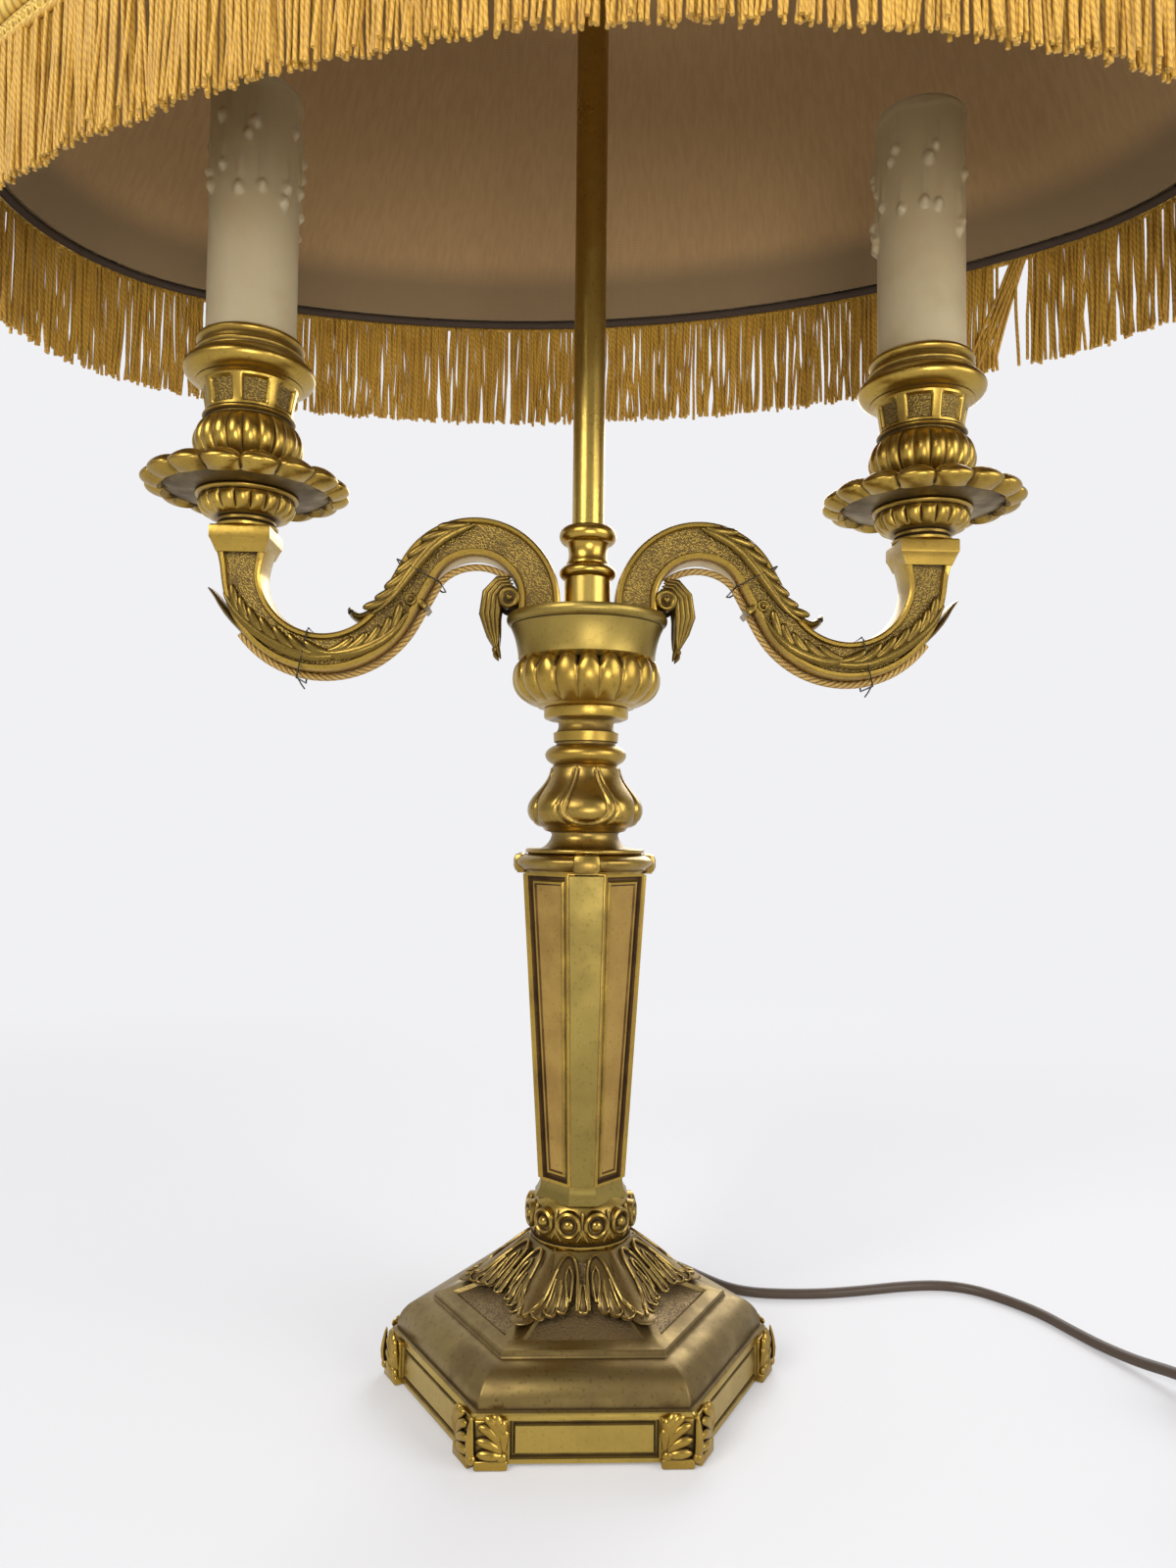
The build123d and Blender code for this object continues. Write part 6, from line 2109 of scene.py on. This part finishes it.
@dataclass
class CandleHolder:
    """Pan cup, scalloped drip pan, candle socket and dripped sleeve on one arm."""

    side: int
    drips: Points
    reach: float = 106.8
    cup_z: float = 257.5
    pan_z: float = 268.5
    socket_z: float = 270.1
    socket_top: float = 317.3
    sleeve_z: float = 308.5
    sleeve_top: float = 396.8
    bore: float = 5.15
    sleeve_radius: float = 13.75
    sleeve_wall: float = 1.15
    back_drips: int = 22

    def put(
        self,
        shape: Sculpt,
        name: str,
        node: str,
        finishes: Sequence[Finish],
        angle: float = 60.0,
        body: str = "lamp",
        slot: str = "gilt_brass",
    ) -> None:
        """Place a shape on this arm and make it a piece.

        Args:
            shape: the shape about the axis.
            name: its name after the side's word.
            node: CAD node after the side's word.
            finishes: its finishes.
            angle: limit of smooth edges.
            body: its body.
            slot: its slot.
        """
        word = hand(self.side)
        moved = Sculpt().add(shape, Matrix.Translation((self.side * self.reach, 0, 0)))
        moved.piece(f"{word}_{name}", body, finishes, slot, (f"{word}_{node}",), angle)

    def pan_cup(self) -> None:
        """The fluted cup under the pan, on its ringed neck."""
        low, high = self.cup_z, self.pan_z
        outline = [(self.bore, low), (9.4, low), (9.6, low + 0.7), (8.6, low + 1.1), (8.0, low + 1.6)]
        outline += [(8.8, low + 2.0), (8.8, low + 2.8), (8.2, low + 3.1)]
        outline += bulge((9.0, low + 3.4), (14.4, high - 1.9), 2.1, 14)
        outline += [(14.0, high - 1.6), (14.8, high - 1.4)]
        outline += bulge((15.0, high - 1.3), (15.0, high - 0.1), 0.6, 5) + [(14.6, high), (self.bore, high)]
        count = 18

        def flutes(angle: float, radius: float, height: float) -> tuple[float, float]:
            """Gadroons on the swelling.

            Args:
                angle: bearing, in radians.
                radius: distance from the axis.
                height: its height.

            Returns:
                The new radius and height.
            """
            weight = within(height, (low + 3.2, low + 5.0), (high - 2.4, high - 1.7))
            return radius + weight * (1.6 * lobed(angle, count, 0.5) - 1.3), height

        shape = Sculpt().turn(outline, count * 12).swell(flutes)
        self.put(shape, "fluted_cup", "pan_cup", (Finish.GILT,))

    def pan(self) -> None:
        """The drip pan: a plain dish with a thick rolled rim of pillow lobes."""
        low = self.pan_z
        outline = [(self.bore, low), (15.4, low)]
        outline += bulge((16.2, low + 0.1), (25.2, low + 1.3), 0.4, 12)
        outline += [(25.7, low + 0.6)] + bulge((26.2, low - 0.7), (26.8, low + 6.0), 4.6, 20)
        outline += [(25.8, low + 5.6)] + bulge((25.2, low + 4.6), (17.0, low + 1.8), 0.7, 12)
        outline.append((self.bore, low + 1.7))
        count = 16

        def pillows(angle: float, radius: float, height: float) -> tuple[float, float]:
            """Round rim lobes with a groove between each two.

            Args:
                angle: bearing, in radians.
                radius: distance from the axis.
                height: its height.

            Returns:
                The new radius and height.
            """
            weight = smooth_step(radius, 22.6, 28.0)
            dip = weight * (1 - lobed(angle, count, 0.5))
            lift = 1.8 * dip * (low + 2.6 - height) / 3.4
            return radius - 2.4 * dip + 0.4 * weight, height + lift

        shape = Sculpt().turn(outline, count * 14).swell(pillows)
        # the underside of the dish gets the darker finish: partly patina, partly painted shade under the pan
        for face in shape.bm.faces:
            middle = face.calc_center_median()
            if middle.z < low + 1.5 and math.hypot(middle.x, middle.y) < 25.4:
                face.material_index = 1
        self.put(shape, "scalloped_pan", "drip_pan", (Finish.GILT, Finish.SHADED_UNDERSIDE))

    def socket(self) -> None:
        """The socket: foot, gadroon ring, panelled neck, torus and rim."""
        low, top = self.socket_z, self.socket_top
        inner = self.sleeve_radius + 0.3
        ring_low, ring_high = low + 6.3, low + 21.2
        neck_low, neck_high = low + 23.2, low + 32.2
        outline = [(self.bore, low), (11.4, low), (11.4, low + 0.8), (10.2, low + 1.4)]
        outline += bulge((9.8, low + 1.8), (10.8, ring_low - 0.6), -0.7, 8)
        outline += bulge((11.2, ring_low), (12.6, ring_high), 4.4, 24)
        outline += [(12.6, ring_high + 0.3)] + bulge((13.3, ring_high + 0.5), (13.3, neck_low - 0.5), 0.8, 5)
        outline.append((13.0, neck_low - 0.2))
        rows = 14
        for row in range(rows + 1):
            outline.append((13.3 + 1.6 * (row / rows) ** 1.4, neck_low + (neck_high - neck_low) * row / rows))
        outline += [(15.6, neck_high + 0.3), (16.2, neck_high + 0.6), (16.0, neck_high + 0.9)]
        outline += bulge((16.6, neck_high + 1.1), (16.6, top - 6.8), 3.4, 14)
        outline += [(16.2, top - 6.4), (16.2, top - 6.0)]
        outline += bulge((16.4, top - 5.8), (16.0, top - 4.2), 0.5, 5)
        outline += [(15.4, top - 3.9), (15.3, top - 3.0)]
        outline += bulge((15.7, top - 2.7), (15.4, top - 0.3), 0.9, 6)
        outline += [(15.0, top), (inner + 0.4, top), (inner, top - 0.4), (inner, top - 9.0)]
        outline.append((self.bore, top - 9.0))
        lobes = 20

        def dress(angle: float, radius: float, height: float) -> tuple[float, float]:
            """Gadroons on the ring and sunk panels in the neck.

            Args:
                angle: bearing, in radians.
                radius: distance from the axis.
                height: its height.

            Returns:
                The new radius and height.
            """
            if radius < 9.0:
                return radius, height
            if ring_low < height < ring_high:
                weight = within(height, (ring_low, ring_low + 2.6), (ring_high - 2.6, ring_high))
                return radius + weight * (1.8 * lobed(angle, lobes, 0.45) - 1.4), height
            if neck_low + 0.7 < height < neck_high - 0.8:
                part = math.degrees(angle) % 45 - 22.5
                return radius - 0.9 * smooth_step(16.0 - abs(part), -0.7, 0.7), height
            return radius, height

        shape = Sculpt().turn(outline, 288).swell(dress)
        for face in shape.bm.faces:
            middle = face.calc_center_median()
            part = abs(math.degrees(math.atan2(middle.y, middle.x)) % 45 - 22.5)
            outside = math.hypot(middle.x, middle.y) > 9.0
            if outside and neck_low + 0.9 < middle.z < neck_high - 1.0 and part < 15.0:
                face.material_index = 1
        self.put(shape, "socket_cast", "candle_socket", (Finish.GILT, Finish.GROUND), 42)

    def sleeve(self) -> None:
        """The candle sleeve, with wax drips that run down its upper part."""
        radius, wall = self.sleeve_radius, self.sleeve_wall
        low, top = self.sleeve_z, self.sleeve_top
        rows = 150
        outline = [(radius, low + (top - 1.2 - low) * step / rows) for step in range(rows + 1)]
        outline += [(radius - 0.15, top - 0.5), (radius - 0.5, top), (radius - wall + 0.2, top)]
        outline += [(radius - wall, top - 0.4), (radius - wall, low)]
        spread = random.Random(7 + self.side)
        runs = []
        for angle, height in self.drips:
            runs.append((math.radians(angle), height, spread.uniform(1.3, 1.65), spread.uniform(8.0, 18.0)))
        limits = ((0.0, math.pi), (355.0, 384.0), (1.2, 1.6), (6.0, 16.0))
        for _ in range(self.back_drips):
            runs.append(tuple(spread.uniform(*limit) for limit in limits))
        waves = [(spread.uniform(0, TURN), spread.randint(2, 7), spread.uniform(0.5, 1.6)) for _ in range(5)]

        def wax(angle: float, here: float, height: float) -> tuple[float, float]:
            """A thin skin of wax down to a wavy edge, with drops at the ends of its runs.

            Args:
                angle: bearing, in radians.
                here: distance from the axis.
                height: its height.

            Returns:
                The new radius and height.
            """
            if here < radius - 0.3:
                return here, height
            wave = sum(size * math.sin(angle * count + start) for start, count, size in waves)
            grow = 0.2 * smooth_step(height, 362.0 + wave - 1.5, 364.5 + wave)
            grow += 0.3 * smooth_step(height, top - 3.6 + 0.3 * wave, top - 2.0 + 0.3 * wave)
            for spot, drop, size, run in runs:
                turn = (angle - spot + math.pi) % TURN - math.pi
                across = turn * radius
                if abs(across) > 5.0 or not drop - 5.0 < height < drop + run + 4.0:
                    continue
                bead = math.exp(-(((across / size) ** 2 + ((height - drop) / (size * 1.3)) ** 2) ** 1.6))
                trail = math.exp(-((across / (size * 0.7)) ** 2))
                trail *= within(height, (drop - 0.5, drop + 1.0), (drop + run * 0.35, drop + run))
                grow = max(grow, 1.25 * size * bead, grow + 0.55 * trail)
            return here + grow, height

        shape = Sculpt().turn(outline, 192).swell(wax)
        body = f"{hand(self.side)}_candle"
        self.put(shape, "dripped_sleeve", "candle_sleeve", (Finish.WAX,), body=body, slot="candle")

    def build(self) -> None:
        """Make the holder."""
        self.pan_cup()
        self.pan()
        self.socket()
        self.sleeve()


# The shade


@dataclass
class Oval:
    """An oval of four tangent arcs, as the shade's rings are."""

    half_length: float
    half_width: float

    def arcs(self) -> list[tuple[float, float, float, float, float]]:
        """Centre, radius, first angle and sweep of each arc, from the right end round.

        Returns:
            The arcs.
        """
        spread = (self.half_length - self.half_width) / (math.sqrt(3) - 1)
        drop = spread * math.sqrt(3)
        end, flank = self.half_length - spread, self.half_width + drop
        return [
            (spread, 0.0, end, -math.pi / 3, 2 * math.pi / 3),
            (0.0, -drop, flank, math.pi / 3, math.pi / 3),
            (-spread, 0.0, end, 2 * math.pi / 3, 2 * math.pi / 3),
            (0.0, drop, flank, 4 * math.pi / 3, math.pi / 3),
        ]

    def girth(self) -> float:
        """Length of the oval."""
        return sum(radius * sweep for _, _, radius, _, sweep in self.arcs())

    def at(self, share: float) -> tuple[Vector, Vector]:
        """A point and its outward direction, by share of the girth.

        Args:
            share: from 0 to 1, from the start of the right end arc.

        Returns:
            The point and the unit normal, level.
        """
        left = (share % 1.0) * self.girth()
        for x, y, radius, first, sweep in self.arcs():
            if left <= radius * sweep + 1e-9:
                angle = first + left / radius
                out = Vector((math.cos(angle), math.sin(angle), 0.0))
                return Vector((x, y, 0.0)) + out * radius, out
            left -= radius * sweep
        return self.at(0.0)


@dataclass
class OvalShade:
    """The oval shade: stretched cover and lining, trim round its foot and a hanging cord fringe."""

    turn: float = -10.7
    ring_z: float = 378.5
    top_z: float = 578.5
    half_length: float = 200.4
    half_width: float = 107.8
    top_length: float = 120.0
    top_width: float = 72.0
    cover_offset: float = 2.9
    lining_offset: float = -1.9
    cutting_waste: float = 1.22
    fringe_bottom: float = 339.6
    strands: int = 1800
    strand_kinds: int = 40
    strand_radius: float = 0.6
    bunch: float = 0.1815

    def oval(self, height: float, offset: float) -> Oval:
        """The shade's oval at a height, grown by an offset.

        Args:
            height: the height.
            offset: distance outside the wires.

        Returns:
            The oval.
        """
        share = (height - self.ring_z) / (self.top_z - self.ring_z)
        length = self.half_length + share * (self.top_length - self.half_length)
        width = self.half_width + share * (self.top_width - self.half_width)
        return Oval(length + offset, width + offset)

    def spin(self) -> Matrix:
        """The shade's turn about the stem."""
        return Matrix.Rotation(math.radians(self.turn), 4, "Z")

    def cloth(self, low: float, high: float, offset: float, thickness: float) -> tuple[Sculpt, float]:
        """A band of cloth round the oval, with UV in metres.

        Args:
            low: lower edge's height.
            high: upper edge's height.
            offset: distance of its outer face from the wires.
            thickness: its thickness, inwards.

        Returns:
            The cloth, and its flat area in square millimetres.
        """
        parts, rows = 192, 14
        band = Sculpt()
        rings = band.rings(parts, rows)
        for row, ring in enumerate(rings):
            height = low + (high - low) * row / rows
            oval = self.oval(height, offset)
            for index, vert in enumerate(ring):
                spot, _ = oval.at(index / parts)
                vert.co = self.spin() @ Vector((spot.x, spot.y, height))
        tall = high - low
        slant = math.hypot(tall, (self.half_length - self.top_length) * tall / (self.top_z - self.ring_z))
        heights = [row / rows * slant * MM for row in range(rows + 1)]
        band.wrap(rings, self.oval(low, offset).girth() * MM, heights)
        band.outward()
        area = sum(face.calc_area() for face in band.bm.faces)
        bmesh.ops.solidify(band.bm, geom=band.bm.faces[:], thickness=thickness)
        return band, area

    def fabric(self) -> None:
        """Cover and lining, both stretched on the wires."""
        outer, inner = self.cover_offset, self.lining_offset
        cover, cover_area = self.cloth(self.ring_z + 0.2, self.top_z, outer, 1.0)
        outside = cover.piece("satin_cover", "shade", (Finish.SATIN,), "cover_fabric", ("shade_cover",), 60)
        lining, lining_area = self.cloth(self.ring_z + 0.9, self.top_z - 14.4, inner, 0.8)
        slot = "lining_fabric"
        inside = lining.piece("slub_lining_cloth", "shade", (Finish.LINING,), slot, ("shade_lining",), 60)
        for piece, area, foot in ((outside, cover_area, outer), (inside, lining_area, inner)):
            width = self.oval(self.ring_z, foot).girth() * MM
            length = area * MM * MM / width * self.cutting_waste
            area * MM * MM

    def ring(
        self, height: float, offset: float, wave: float = 0.0, count: int = 0, phase: float = 0.0
    ) -> list[Vector]:
        """Points of a cord laid round the shade.

        Args:
            height: its height.
            offset: its distance outside the wires.
            wave: how far it weaves up and down.
            count: weaves in a full round.
            phase: start of the weave.

        Returns:
            The points.
        """
        oval = self.oval(height, offset)
        parts = max(240, count * 6)
        points = []
        for step in range(parts):
            spot, out = oval.at(step / parts)
            turn = TURN * count * step / parts + phase
            spot = spot + out * (0.35 * math.cos(2 * turn) if count else 0.0)
            points.append(self.spin() @ Vector((spot.x, spot.y, height + wave * math.sin(turn))))
        return points

    def trim(self) -> None:
        """The braids at the foot and the top of the cover, and the roll above the lower one."""
        braid = Sculpt()
        for index in range(3):
            weave = self.ring(self.ring_z + 4.0, 4.15, 2.4, 130, TURN * index / 3)
            braid.add(cord_tube(weave, 0.85, 6, True))
        for height in (self.ring_z + 0.9, self.ring_z + 7.1):
            braid.add(cord_tube(self.ring(height, 4.0), 0.95, 8, True))
        braid.piece("woven_gimp", "shade", (Finish.GIMP,), "trim", ("gimp_braid",), 60)
        narrow = Sculpt()
        for index in range(3):
            weave = self.ring(self.top_z - 3.0, 3.6, 1.5, 90, TURN * index / 3)
            narrow.add(cord_tube(weave, 0.65, 6, True))
        for height in (self.top_z - 5.2, self.top_z - 0.8):
            narrow.add(cord_tube(self.ring(height, 3.5), 0.75, 8, True))
        narrow.piece("top_gimp", "shade", (Finish.GIMP,), "trim", (), 60)
        roll = cord_tube(self.ring(self.ring_z + 10.7, 6.0), 2.6, 14, True)
        roll.piece("satin_roll_cord", "shade", (Finish.GIMP,), "trim", ("satin_roll",), 60)

    def strand(self, spread: random.Random, length: float) -> bpy.types.Mesh:
        """One hanging cord with a slight bend, as a mesh to copy.

        Args:
            spread: source of chance.
            length: its length.

        Returns:
            The mesh, hanging from the origin, X along the shade.
        """
        lean, sway = spread.gauss(0.0, 1.0), spread.gauss(0.0, 0.7)
        curl = spread.uniform(0, TURN)
        path = []
        steps = 7
        for step in range(steps + 1):
            share = step / steps
            wave = 0.42 * math.sin(curl + 5.0 * share)
            path.append(Vector((lean * share**1.5 + wave * share, sway * share**1.4, -length * share)))
        tube = cord_tube(path, self.strand_radius, 5)
        tube.sharpen(80)
        mesh = bpy.data.meshes.new("strand")
        tube.bm.to_mesh(mesh)
        tube.bm.free()
        return mesh

    def fringe(self) -> None:
        """Many hundred twisted cords that hang from a header cord in three rows, one bunch swept aside."""
        spread = random.Random(42)
        drop = self.ring_z - self.fringe_bottom
        kinds = [self.strand(spread, drop + 1.0 + spread.gauss(0.0, 0.8)) for _ in range(self.strand_kinds)]
        oval = self.oval(self.ring_z, 4.0)
        hang_low = Sculpt()
        hang_low.bm.loops.layers.uv.new("UVMap")
        for index in range(self.strands):
            share = (index + spread.gauss(0.0, 0.55)) / self.strands
            if abs(share - self.bunch) < 0.0065 and index % 12:
                share = self.bunch + (share - self.bunch) * 0.4 - 0.002
                lean = 0.36 + spread.gauss(0.0, 0.05)
            elif spread.random() < 0.05:
                continue
            else:
                lean = spread.gauss(0.0, 0.028)
            spot, out = oval.at(share)
            spot = spot + out * spread.choice((-0.75, 0.0, 0.75))
            turn = Matrix.Rotation(math.atan2(out.y, out.x) - math.pi / 2, 4, "Z")
            place = self.spin() @ Matrix.Translation((spot.x, spot.y, self.ring_z - 0.2)) @ turn
            mesh = kinds[spread.randrange(len(kinds))].copy()
            mesh.transform(place @ Matrix.Rotation(lean, 4, "Y"))
            hang_low.bm.from_mesh(mesh)
            bpy.data.meshes.remove(mesh)
        for kind in kinds:
            bpy.data.meshes.remove(kind)
        hang_low.add(cord_tube(self.ring(self.ring_z - 0.4, 4.2), 0.8, 6, True))
        hang_low.piece("cord_fringe", "shade", (Finish.FRINGE,), "trim", ("fringe",), 80)

    def build(self) -> None:
        """Make the shade's cloth and trim."""
        self.fabric()
        self.trim()
        self.fringe()


# What stays as the CAD made it


KEPT = {
    Finish.POLISHED: (
        "stem_rod",
        "shade_seat",
        "finial",
        "cup_plate",
        "holder_nipples",
        "lamp_contacts",
        "plug_pins",
    ),
    Finish.STEEL: ("tie_tube", "lock_washer", "lock_nut", "arm_screws", "switch_screws"),
    Finish.WIRE: ("shade_bottom_ring", "shade_top_ring", "shade_ribs", "spider"),
    Finish.HOLDER: ("left_lampholder", "right_lampholder"),
    Finish.SHEATH: ("strain_relief", "riser_leads"),
    Finish.FITTING: ("switch_lower", "switch_upper", "switch_rocker", "plug_body", "coil_tie"),
    Finish.TERMINAL: ("terminal_block",),
    Finish.FELT: ("felt_pad",),
}


def dress_kept() -> None:
    """Give each CAD node that shows its finish."""
    for finish, names in KEPT.items():
        for name in names:
            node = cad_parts[name]
            node.data.materials.clear()
            node.data.materials.append(material(finish))
            LOG.info("%s: %s", name, finish.value.name)


# Bearing in degrees and height of each wax drop that the front of a sleeve shows
LEFT_DRIPS = (
    (-120, 383.1), (-74, 380.6), (-83, 376.6), (-18, 383.0), (-117, 367.4),
    (-142, 366.6), (-141, 362.7), (-94, 359.6), (-65, 361.2), (-31, 363.2),
    (-35, 358.6), (-2, 365.8), (10, 377.2), (10, 372.2), (10, 359.6),
)
RIGHT_DRIPS = (
    (-142, 381.5), (-150, 378.3), (-90, 379.9), (-99, 375.9), (-42, 373.5),
    (168, 378.5), (168, 376.2), (-166, 365.4), (-134, 361.6), (-105, 362.0),
    (-87, 361.2), (168, 362.5), (168, 355.9), (-51, 356.7), (-53, 354.6),
)


def main() -> None:
    """Build the studio and the lamp, piece by piece."""
    logging.basicConfig(level=logging.INFO, format="%(message)s")
    Studio(Vector((-10.88, -336.75, 164.61))).build()
    MainsCord().build()
    HexBase().build()
    Column().build()
    ties = Sculpt()
    for side, drips in ((-1, LEFT_DRIPS), (1, RIGHT_DRIPS)):
        ties.add(ScrollArm(side).build())
        CandleHolder(side, drips).build()
    ties.piece("wire_ties", "lamp", (Finish.TIE,), "steel", ("arm_ties",), 60)
    OvalShade().build()
    dress_kept()


if __name__ == "__main__":
    main()
